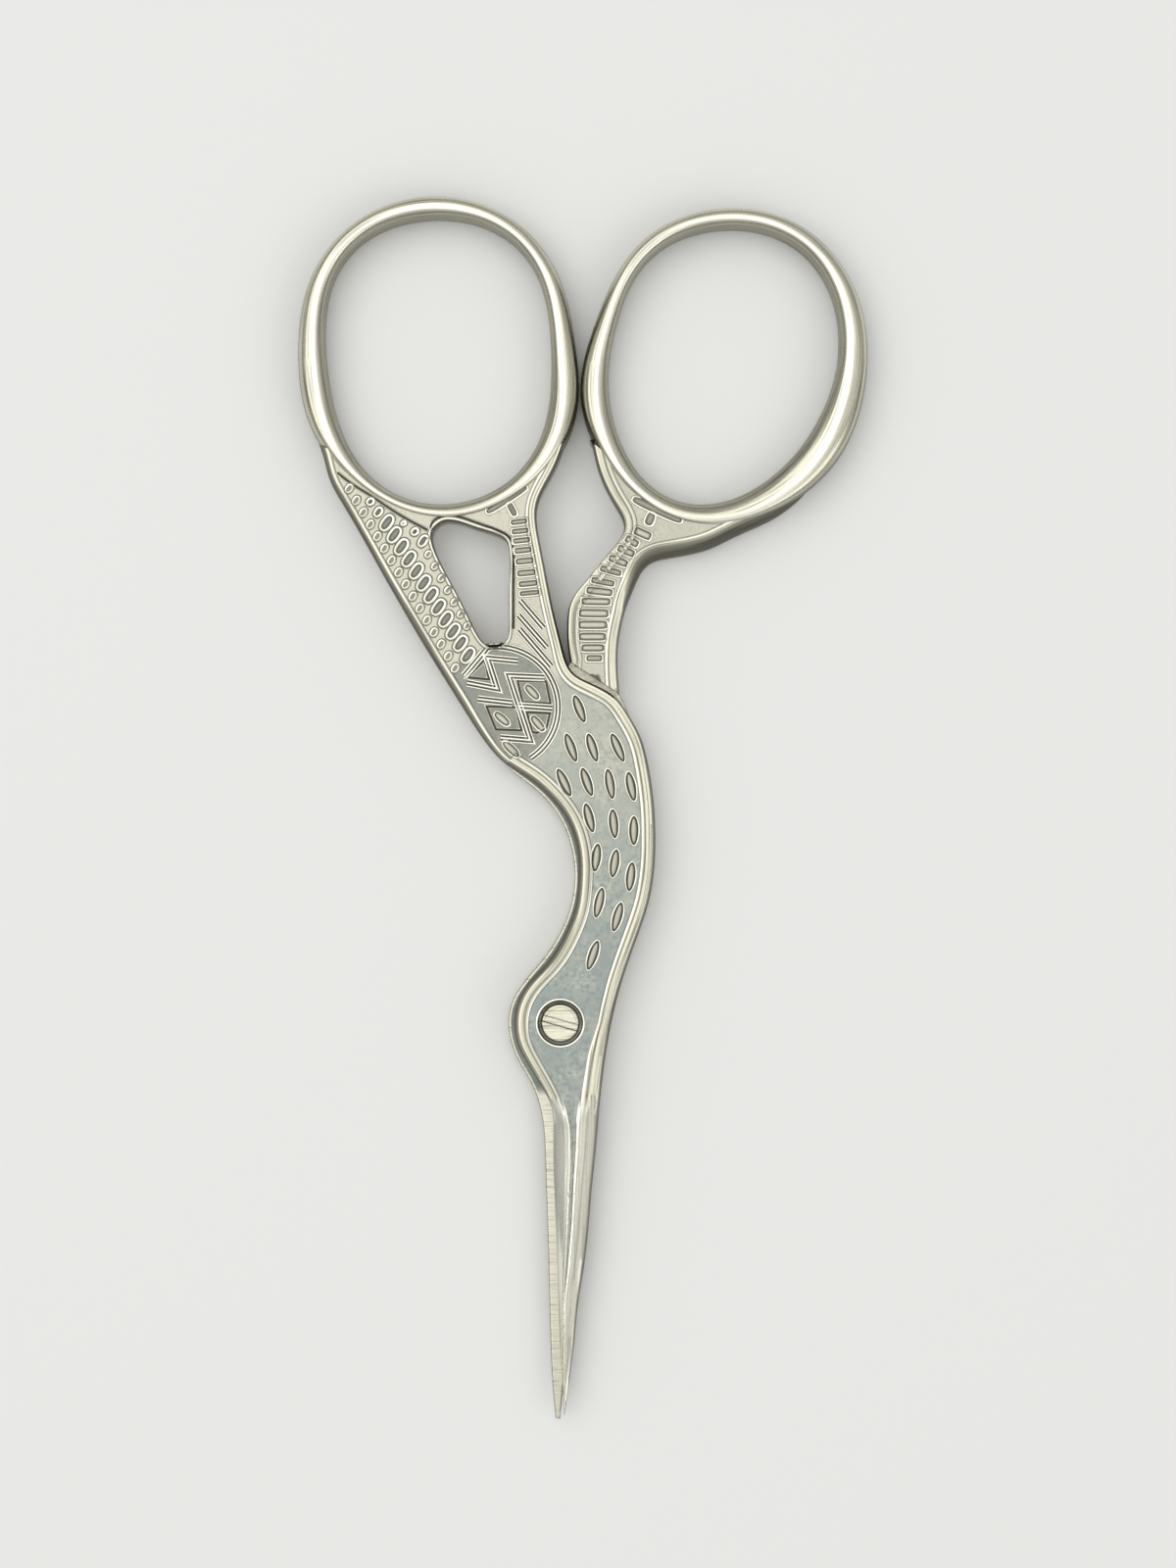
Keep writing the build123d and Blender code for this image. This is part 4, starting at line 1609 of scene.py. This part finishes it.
class MarkKind(Enum):
    """The kinds of closed mark, each with its section."""

    FEATHER = Relief((
        (-0.12, -0.04, 0.3, 0.3, 0.0), (-0.08, 0.03, 0.9, 0.1, 0.8), (-0.02, 0.065, 1.0, 0.0, 1.0),
        (0.05, 0.06, 1.0, 0.0, 1.0), (0.09, 0.02, 0.5, 0.7, 0.0), (0.12, 0.01, 0.3, 0.95, 0.0),
        (0.23, 0.01, 0.3, 0.95, 0.0), (0.28, 0.03, 0.4, 0.6, 0.0), (0.35, 0.05, 0.6, 0.3, 0.0),
        (0.42, 0.06, 0.6, 0.25, 0.0), (0.5, 0.055, 0.4, 0.55, 0.0),
    ), 0.8)
    SCALE = Relief((
        (-0.2, -0.03, 0.2, 0.3, 0.0), (-0.17, 0.012, 0.2, 0.5, 0.0), (-0.1, 0.015, 0.2, 0.6, 0.0),
        (-0.05, 0.07, 1.0, 0.0, 0.8), (0.04, 0.09, 1.0, 0.0, 1.0), (0.13, 0.08, 1.0, 0.0, 0.9),
        (0.18, 0.04, 0.5, 0.5, 0.1), (0.22, 0.01, 0.1, 0.75, 0.0), (0.32, 0.012, 0.0, 0.55, 0.0),
        (0.42, 0.03, 0.1, 0.4, 0.0),
    ), 0.45, (0.75, 0.65), 0.6)
    HOOK = Relief((
        (-0.19, -0.03, 0.2, 0.3, 0.0), (-0.16, 0.012, 0.2, 0.45, 0.0), (-0.09, 0.015, 0.2, 0.55, 0.0),
        (-0.04, 0.07, 1.0, 0.0, 0.8), (0.04, 0.08, 1.0, 0.0, 1.0), (0.11, 0.05, 0.9, 0.1, 0.5),
        (0.16, 0.015, 0.3, 0.5, 0.0), (0.28, 0.02, 0.4, 0.3, 0.0),
    ), 0.7, (-0.6, 0.8), 1.0)
    CELL = Relief((
        (-0.12, -0.03, 0.3, 0.3, 0.0), (-0.09, 0.015, 0.4, 0.4, 0.0), (-0.05, 0.04, 0.9, 0.05, 0.5),
        (0.0, 0.07, 1.0, 0.0, 1.0), (0.06, 0.06, 1.0, 0.0, 0.8), (0.1, 0.02, 0.5, 0.6, 0.0),
        (0.14, 0.01, 0.3, 0.85, 0.0), (0.2, 0.012, 0.3, 0.7, 0.0), (0.26, 0.03, 0.7, 0.4, 0.0),
        (0.36, 0.045, 0.8, 0.25, 0.1),
    ), 0.6, (0.1, -1.0), 0.6)
    BAR = Relief((
        (-0.2, -0.03, 0.3, 0.3, 0.0), (-0.16, 0.02, 0.9, 0.1, 0.5), (-0.08, 0.075, 1.0, 0.0, 0.9),
        (0.0, 0.07, 1.0, 0.0, 0.9), (0.05, 0.02, 0.5, 0.6, 0.0), (0.09, 0.01, 0.3, 0.8, 0.0),
        (0.2, 0.012, 0.3, 0.6, 0.0), (0.3, 0.015, 0.4, 0.45, 0.0),
    ), 0.7, (0.2, -1.0), 0.4)


@dataclass(frozen=True)
class Mark:
    """One closed mark: a superellipse between two end points in the photograph."""

    start: tuple
    end: tuple
    width: float
    power: float = 2.0
    ends: float = 1.0


# Sections of the medallion's bands and lines: rows of place across, height, polish, oxide and bright, the
# last a painted highlight on the lips.
BAND_SECTION = (
    (-0.42, -0.04, 0.3, 0.5, 0.0), (-0.38, 0.03, 0.9, 0.15, 0.3), (-0.31, 0.065, 1.0, 0.0, 0.9),
    (-0.26, 0.06, 1.0, 0.0, 0.9), (-0.23, 0.02, 0.4, 0.75, 0.0), (-0.205, 0.012, 0.3, 0.95, 0.0),
    (-0.13, 0.012, 0.3, 0.95, 0.0), (-0.1, 0.05, 0.9, 0.3, 0.1), (0.0, 0.065, 1.0, 0.0, 0.75),
    (0.1, 0.05, 0.9, 0.3, 0.1), (0.13, 0.012, 0.3, 0.95, 0.0), (0.205, 0.012, 0.3, 0.95, 0.0),
    (0.23, 0.02, 0.4, 0.75, 0.0), (0.26, 0.06, 1.0, 0.0, 0.9), (0.31, 0.065, 1.0, 0.0, 0.9),
    (0.38, 0.03, 0.9, 0.15, 0.3), (0.42, -0.04, 0.3, 0.5, 0.0),
)
LINE_SECTION = (
    (-0.24, -0.05, 0.3, 0.4, 0.0), (-0.2, 0.03, 0.9, 0.1, 0.3), (-0.13, 0.055, 1.0, 0.0, 0.7),
    (-0.08, 0.012, 0.4, 0.95, 0.0), (0.08, 0.012, 0.4, 0.95, 0.0), (0.13, 0.055, 1.0, 0.0, 0.7),
    (0.2, 0.03, 0.9, 0.1, 0.3), (0.24, -0.05, 0.3, 0.4, 0.0),
)


@dataclass
class Carving:
    """Marks that stand on a plate's ground, all in one piece."""

    name: str
    plate: Plate
    body: Body
    finish: Steel
    slot: str
    depth: float = 0.3
    around: int = 48
    shell: Shell = field(default_factory=Shell)

    def level(self, points: np.ndarray) -> np.ndarray:
        """Height of the ground under points."""
        return self.plate.top(points)

    def mark(self, kind: MarkKind, mark: Mark) -> None:
        """Adds a closed mark: rows of a superellipse, each drawn in by the section's inset.

        A row's half length and half width are the outline's less the inset, which keeps a groove of
        even width. The last row closes on the middle line, and a skirt goes down into the plate.

        Args:
            kind: The kind of mark, which gives its section.
            mark: Its place and outline.
        """
        relief = kind.value
        start, end = PHOTO.mm([mark.start, mark.end])
        middle, run = (start + end) / 2, end - start
        half_length = np.linalg.norm(run) / 2
        half_width = mark.width * PHOTO.mm_per_pixel / 2
        run = run / np.linalg.norm(run)
        square = np.array([-run[1], run[0]])
        turn = np.linspace(0, 2 * math.pi, self.around, endpoint=False)
        lengthwise = signed_power(np.cos(turn), 2 / mark.power)
        sideways = signed_power(np.sin(turn), 2 / mark.power)
        sideways *= 1 + (mark.ends - 1) * (lengthwise + 1) / 2
        table = np.array([row for row in relief.rows if row[0] < half_width * 0.93])
        inset = np.append(table[:, 0], half_width * 0.96)
        height, polish, oxide, bright = np.vstack([table, table[-1:]]).T[1:]
        long = np.maximum(half_length - inset, 0.02)[:, None] * lengthwise
        wide = np.maximum(half_width - inset, 0.004)[:, None] * sideways
        flat = middle + long[..., None] * run + wide[..., None] * square
        flat = flat.reshape(-1, 2)
        rows, columns = len(inset), self.around
        z = self.level(flat).reshape(rows, columns) + height[:, None]
        below = np.column_stack([flat[:columns], z[0] - self.depth])
        places = np.vstack([below, np.column_stack([flat, z.ravel()])])
        base = np.vstack([places, [[*middle, z[-1].mean()], [*middle, z[0].mean() - self.depth]]])
        quads = grid_quads(rows + 1, columns, wrap_columns=True)
        number = np.arange(columns)
        ahead = (number + 1) % columns
        last = rows * columns
        top = np.column_stack([number + last, ahead + last, np.full(columns, len(places))])
        bottom = np.column_stack([ahead, number, np.full(columns, len(places) + 1)])
        out = lengthwise[:, None] * run + sideways[:, None] * square
        out /= np.linalg.norm(out, axis=1)[:, None]
        # Painted highlight on the lips, brightest on the side that faces the lit direction.
        facing = 1 - relief.tilt * (1 - out @ np.array(relief.lit)) / 2 * 1.6
        lit = bright[:, None] * np.clip(facing, 0, 1)
        spread = [
            np.concatenate([v[0], v.ravel(), [v[-1].mean(), v[0].mean()]])
            for v in (np.tile(polish[:, None], columns), np.tile(oxide[:, None], columns), lit)
        ]
        values = dict(polish=spread[0], oxide=spread[1], bright=spread[2], warm=relief.warm)
        self.shell.add(base, np.vstack([top, bottom]), quads, **values)

    def line(self, section: tuple, points: np.ndarray, closed: bool = False) -> None:
        """Adds a line: a section carried along a path, with mitred corners and closed ends.

        Args:
            section: Rows of place across, height, polish, oxide and bright, the last a painted highlight.
            points: The path, in millimetres.
            closed: Whether the path returns to its start.
        """
        table = np.array(section)
        square = mitred(points, closed)
        across = np.concatenate([table[:, 0], table[::-1, 0]])
        flat = points[:, None] + square[:, None] * across[None, :, None]
        rows, columns = len(points), len(across)
        level = self.level(flat.reshape(-1, 2)).reshape(rows, columns)
        half = len(table)
        z = level + np.concatenate([table[:, 1], np.full(half, -self.depth)])
        places = np.concatenate([flat, z[..., None]], axis=-1).reshape(-1, 3)
        quads = grid_quads(rows, columns, closed, True)[:, ::-1]
        polish, oxide, bright = [np.tile(np.concatenate([v, v[::-1]]), rows) for v in table.T[2:]]
        caps = []
        if not closed:
            strip = np.arange(half - 1)
            first = np.column_stack([strip, strip + 1, columns - 2 - strip, columns - 1 - strip])
            caps = [first[:, ::-1], first + (rows - 1) * columns]
            quads = np.vstack([quads, *caps])
        self.shell.add(places, quads=quads[:, ::-1], polish=polish, oxide=oxide, bright=bright, warm=0.5)

    def make(self) -> bpy.types.Object:
        """Makes the piece."""
        return self.shell.make(self.name, self.finish, self.body, self.slot, sharp=60)


def mitred(points: np.ndarray, closed: bool) -> np.ndarray:
    """Vectors square to a path, lengthened at its corners so that a band keeps its width.

    Args:
        points: Rows of x and y along the path.
        closed: Whether the path is a loop.

    Returns:
        One vector for each point, to its left.
    """
    run = np.diff(np.vstack([points, points[:1]]) if closed else points, axis=0)
    run /= np.linalg.norm(run, axis=1)[:, None]
    before = np.roll(run, 1, axis=0) if closed else np.vstack([run[:1], run])
    after = run if closed else np.vstack([run, run[-1:]])
    side = np.column_stack([-(before + after)[:, 1], (before + after)[:, 0]])
    side /= np.linalg.norm(side, axis=1)[:, None]
    square = np.column_stack([-after[:, 1], after[:, 0]])
    return side / np.maximum((side * square).sum(axis=1), 0.4)[:, None]


FEATHERS = (
    ((586, 709), (597, 738)), ((577.5, 748), (588.5, 778)), ((600, 748), (609.5, 778)),
    ((624, 748), (637, 778)), ((569, 784), (583, 813)), ((594, 783), (604.5, 813)),
    ((620, 784), (625.5, 816)), ((641, 787), (647.5, 818)), ((597.5, 819), (605.5, 850)),
    ((625, 825), (628, 856)), ((647, 832), (647, 863)), ((610.5, 860), (607, 890)),
    ((629.5, 866), (625, 896)), ((645.5, 879), (642, 910)), ((615, 905), (608, 937)),
    ((634.5, 920), (626, 951)), ((610.5, 959), (600, 990)),
)
MEDALLION_CENTRE = (508.5, 722)
MEDALLION_RADIUS = 61.5
MEDALLION_BANDS = (
    ((529, 675), (498, 672), (508, 703), (477, 697)),
    ((488, 713.5), (523, 717.5)),
    ((556, 691.5), (520, 690), (541.5, 755.5), (511, 753)),
    ((530, 720.5), (564, 723)),
)
MEDALLION_LINES = (
    ((477.5, 691.5), (495, 673.5), (499.5, 693.5), (477.5, 691.5)),
    ((528.7, 695), (557.5, 695.5), (562, 718), (533.5, 716.5), (528.7, 695)),
    ((497, 721), (527, 722), (532.5, 745.5), (506.5, 744.5), (497, 721)),
    ((538, 727), (561.5, 728), (558, 743), (548, 748), (543.5, 747), (538, 727)),
)
MEDALLION_OVALS = (
    ((536.5, 699), (550.5, 714)), ((505, 727), (520.5, 740.5)), ((542.5, 730.5), (556, 746.5)),
    ((513.5, 756.5), (530.5, 772.5)),
)
WING_TOP = (
    ((375.5, 515), (382, 510), 7), ((383.5, 527.5), (390, 518.5), 7.5), ((421, 546), (427, 540), 7),
    ((428.5, 558), (436, 547), 8), ((410, 536), (415, 533), 4.5),
)
BORDER_LINES = (
    ((345, 483), (360, 494.5), (380, 507), (400, 520.5), (420, 532.5), (437, 541.5)),
    ((439, 542), (442, 533), (450, 528), (462, 526.5), (479, 531), (497, 537.5), (513, 544), (521, 550),
     (524, 558.5), (524.3, 575), (524.3, 600), (524, 642)),
)
LEFT_LADDER = (
    ((521, 534), (539, 532), 7), ((522, 543.5), (540.5, 541.5), 7), ((523, 553), (542, 551), 7),
    ((524.5, 563), (543.5, 561), 7.5), ((526, 574), (545.5, 572), 8), ((527.5, 586), (547.5, 584), 8),
    ((529, 597), (549.5, 595), 7.5), ((530, 606.5), (551.5, 604.5), 6.5),
)
RIGHT_LADDER = (
    ((647, 541), (665, 549), 10), ((638, 549), (652, 557), 9), ((630, 559), (648, 566.5), 9),
    ((621, 569), (641, 576.5), 9), ((612, 580), (635, 586), 8), ((603, 592), (628, 596.5), 8),
    ((598, 602.5), (626, 605.5), 9), ((593, 614), (624, 614.5), 9), ((590.5, 626), (622, 626.5), 10),
    ((590, 638), (620.5, 638), 10), ((590.5, 650), (619, 650), 9.5), ((593, 661.5), (617.5, 661.5), 9),
    ((598, 672), (615.5, 672), 8),
)


@dataclass(frozen=True)
class MarkRow:
    """A straight row of equal marks, each a step on from the one before."""

    kind: MarkKind
    number: int
    first: tuple
    step: tuple
    reach: tuple
    width: float
    power: float

    def marks(self) -> list[Mark]:
        """The row's marks, each with its ends a reach to either side of its middle."""
        middles = [np.array(self.first) + np.array(self.step) * place for place in range(self.number)]
        return [Mark(tuple(m - self.reach), tuple(m + self.reach), self.width, self.power) for m in middles]


WING_ROWS = (
    MarkRow(MarkKind.SCALE, 12, (395.5, 534), (7.5, 12.28), (5.4, -7.4), 10.5, 2.5),
    MarkRow(MarkKind.HOOK, 16, (357, 499), (7.2, 12.2), (2.4, -3.9), 6.5, 2.2),
    MarkRow(MarkKind.HOOK, 7, (437.5, 566), (6.6, 12.2), (1.8, -3.2), 5.5, 2.2),
)
LEFT_TEE = (Mark((497, 523.5), (538, 497), 7.5, 3.5), Mark((519.6, 514), (526.5, 527), 6.5, 3.5))
RIGHT_TEE = (Mark((646, 509.5), (696, 532.5), 8.5, 3.5), Mark((666, 524), (661, 536.5), 9.0, 3.0))
SLANTED_BANDS = (((531, 613), (555, 641)), ((529.5, 628), (558.5, 661)), ((530.5, 642), (563, 680)))
MEDALLION_TAIL = (474, 690)
LADDER_POWER = 6.0
LINE_SPACING = 0.3


@dataclass
class FrontCarving:
    """The ornament of the front half: feathers, medallion, wing scales, a bar and a ladder."""

    plate: Plate
    feather_width: float = 11.5
    feather_power: float = 1.85
    feather_foot: float = 0.9
    oval_width: float = 9.5
    oval_power: float = 2.3
    medallion_arc: tuple = (100, -57)

    def carving(self, name: str) -> Carving:
        """An empty carving on the front plate."""
        return Carving(name, self.plate, Body.FRONT, FRONT_STEEL, "front_steel")

    def build(self) -> None:
        """Builds each group of marks."""
        feathers = self.carving("feather_marks")
        for start, end in FEATHERS:
            feather = Mark(start, end, self.feather_width, self.feather_power, self.feather_foot)
            feathers.mark(MarkKind.FEATHER, feather)
        feathers.make()
        self.medallion().make()
        self.wing().make()
        self.leg().make()

    def medallion(self) -> Carving:
        """The round shield with its zigzag bands, its four-sided cells and their ovals.

        Returns:
            The carving, not yet made.
        """
        carving = self.carving("medallion")
        angle = np.radians(np.linspace(*self.medallion_arc, 90))
        round_line = np.column_stack([np.cos(angle), -np.sin(angle)]) * MEDALLION_RADIUS + MEDALLION_CENTRE
        rim = np.vstack([PHOTO.mm([MEDALLION_TAIL]), PHOTO.mm(round_line)])
        carving.line(BAND_SECTION, straight(rim, LINE_SPACING))
        for band in MEDALLION_BANDS:
            carving.line(BAND_SECTION, straight(PHOTO.mm(band), LINE_SPACING))
        for line in MEDALLION_LINES:
            round_cell = straight(PHOTO.mm(line[:-1] + line[:1]), LINE_SPACING)
            carving.line(LINE_SECTION, round_cell[:-1], closed=True)
        for start, end in MEDALLION_OVALS:
            carving.mark(MarkKind.CELL, Mark(start, end, self.oval_width, self.oval_power))
        return carving

    def wing(self) -> Carving:
        """Three rows down the wing, scales between hooks and drops, with a few odd marks at the top.

        Returns:
            The carving, not yet made.
        """
        carving = self.carving("wing_scales")
        for row in WING_ROWS:
            for mark in row.marks():
                carving.mark(row.kind, mark)
        for start, end, width in WING_TOP:
            carving.mark(MarkKind.SCALE, Mark(start, end, width, 2.2))
        for path in BORDER_LINES:
            carving.line(LINE_SECTION, spline(PHOTO.mm(path), LINE_SPACING))
        return carving

    def leg(self) -> Carving:
        """The bar, the ladder and the slanted bands down the front leg.

        Returns:
            The carving, not yet made.
        """
        carving = self.carving("front_leg_marks")
        for mark in LEFT_TEE:
            carving.mark(MarkKind.BAR, mark)
        for start, end, width in LEFT_LADDER:
            carving.mark(MarkKind.CELL, Mark(start, end, width, LADDER_POWER))
        for band in SLANTED_BANDS:
            carving.line(BAND_SECTION, straight(PHOTO.mm(band), LINE_SPACING))
        return carving


@dataclass
class RearCarving:
    """The ornament of the rear leg: a bar and a ladder."""

    plate: Plate

    def build(self) -> None:
        """Builds the marks."""
        carving = Carving("rear_leg_marks", self.plate, Body.REAR, REAR_STEEL, "rear_steel")
        for mark in RIGHT_TEE:
            carving.mark(MarkKind.BAR, mark)
        for start, end, width in RIGHT_LADDER:
            carving.mark(MarkKind.CELL, Mark(start, end, width, LADDER_POWER))
        carving.make()


@dataclass
class Studio:
    """Camera, floor and soft light."""

    eye: tuple = (2.6, 22.4, 253.0)
    lens: float = 61.1
    floor_size: float = 3.0
    floor_colour: tuple = (0.86, 0.86, 0.845, 1.0)
    horizon: float = 0.3
    zenith: float = 0.74
    lamps: tuple = (
        ("key_light", (-0.22, 0.16, 0.62), 0.75, 1.7),
        ("fill_light", (0.5, -0.25, 0.5), 0.4, 0.5),
    )

    def build(self) -> None:
        """Sets up the camera, the floor, the lamps and the world."""
        scene = bpy.context.scene
        scene.view_settings.view_transform = "Standard"
        data = bpy.data.cameras.new("camera")
        data.lens = self.lens
        data.sensor_width = 36.0
        data.clip_start = 0.01
        camera = bpy.data.objects.new("camera", data)
        scene.collection.objects.link(camera)
        camera.location = Vector(self.eye) * MM
        scene.camera = camera
        self.floor()
        for lamp in self.lamps:
            self.lamp(*lamp)
        world = bpy.data.worlds.new("studio")
        scene.world = world
        world.use_nodes = True
        n = Nodes(world.node_tree)
        direction = n.add("ShaderNodeTexCoord").outputs["Generated"]
        upward = n.add("ShaderNodeSeparateXYZ", {0: direction}).outputs[2]
        strength = n.ramp(upward, 0.05, 0.8, self.horizon, self.zenith)
        sky = n.add("ShaderNodeBackground", {"Color": (1.0, 1.0, 0.99, 1.0), "Strength": strength})
        n.add("ShaderNodeOutputWorld", {"Surface": sky.outputs[0]})

    def floor(self) -> None:
        """A plain pale floor on the resting plane."""
        half = self.floor_size / 2
        mesh = bpy.data.meshes.new("floor")
        corner_places = [(-half, -half, 0), (half, -half, 0), (half, half, 0), (-half, half, 0)]
        mesh.from_pydata(corner_places, [], [(0, 1, 2, 3)])
        floor = bpy.data.objects.new("floor", mesh)
        bpy.context.scene.collection.objects.link(floor)
        made = bpy.data.materials.new("pale_floor")
        made.use_nodes = True
        n = Nodes(made.node_tree)
        shader = n.add("ShaderNodeBsdfPrincipled", {"Base Color": self.floor_colour, "Roughness": 0.8})
        n.add("ShaderNodeOutputMaterial", {"Surface": shader.outputs[0]})
        mesh.materials.append(made)

    def lamp(self, name: str, place: tuple, size: float, power: float) -> None:
        """A square soft light that faces the scissors.

        Args:
            name: Name of the lamp.
            place: Where it hangs, in metres.
            size: Length of its side, in metres.
            power: Its power in watts.
        """
        data = bpy.data.lights.new(name, "AREA")
        data.shape = "SQUARE"
        data.size = size
        data.energy = power
        lamp = bpy.data.objects.new(name, data)
        lamp.location = place
        aim = Vector((0.0, 0.02, 0.0)) - Vector(place)
        lamp.rotation_euler = aim.to_track_quat("-Z", "Y").to_euler()
        bpy.context.scene.collection.objects.link(lamp)


def corners(bounds: tuple) -> list:
    """A box's two corners as plain lists of numbers."""
    return [[float(v) for v in corner] for corner in bounds]


def main() -> None:
    """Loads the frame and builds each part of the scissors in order."""
    logging.basicConfig(level=logging.INFO, format="%(name)s: %(message)s")
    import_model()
    Studio().build()
    front = FrontHalf()
    front.build()
    FrontCarving(front.plate).build()
    rear = RearHalf()
    rear.build()
    RearCarving(rear.leg).build()
    PivotScrew().build()


if __name__ == "__main__":
    main()
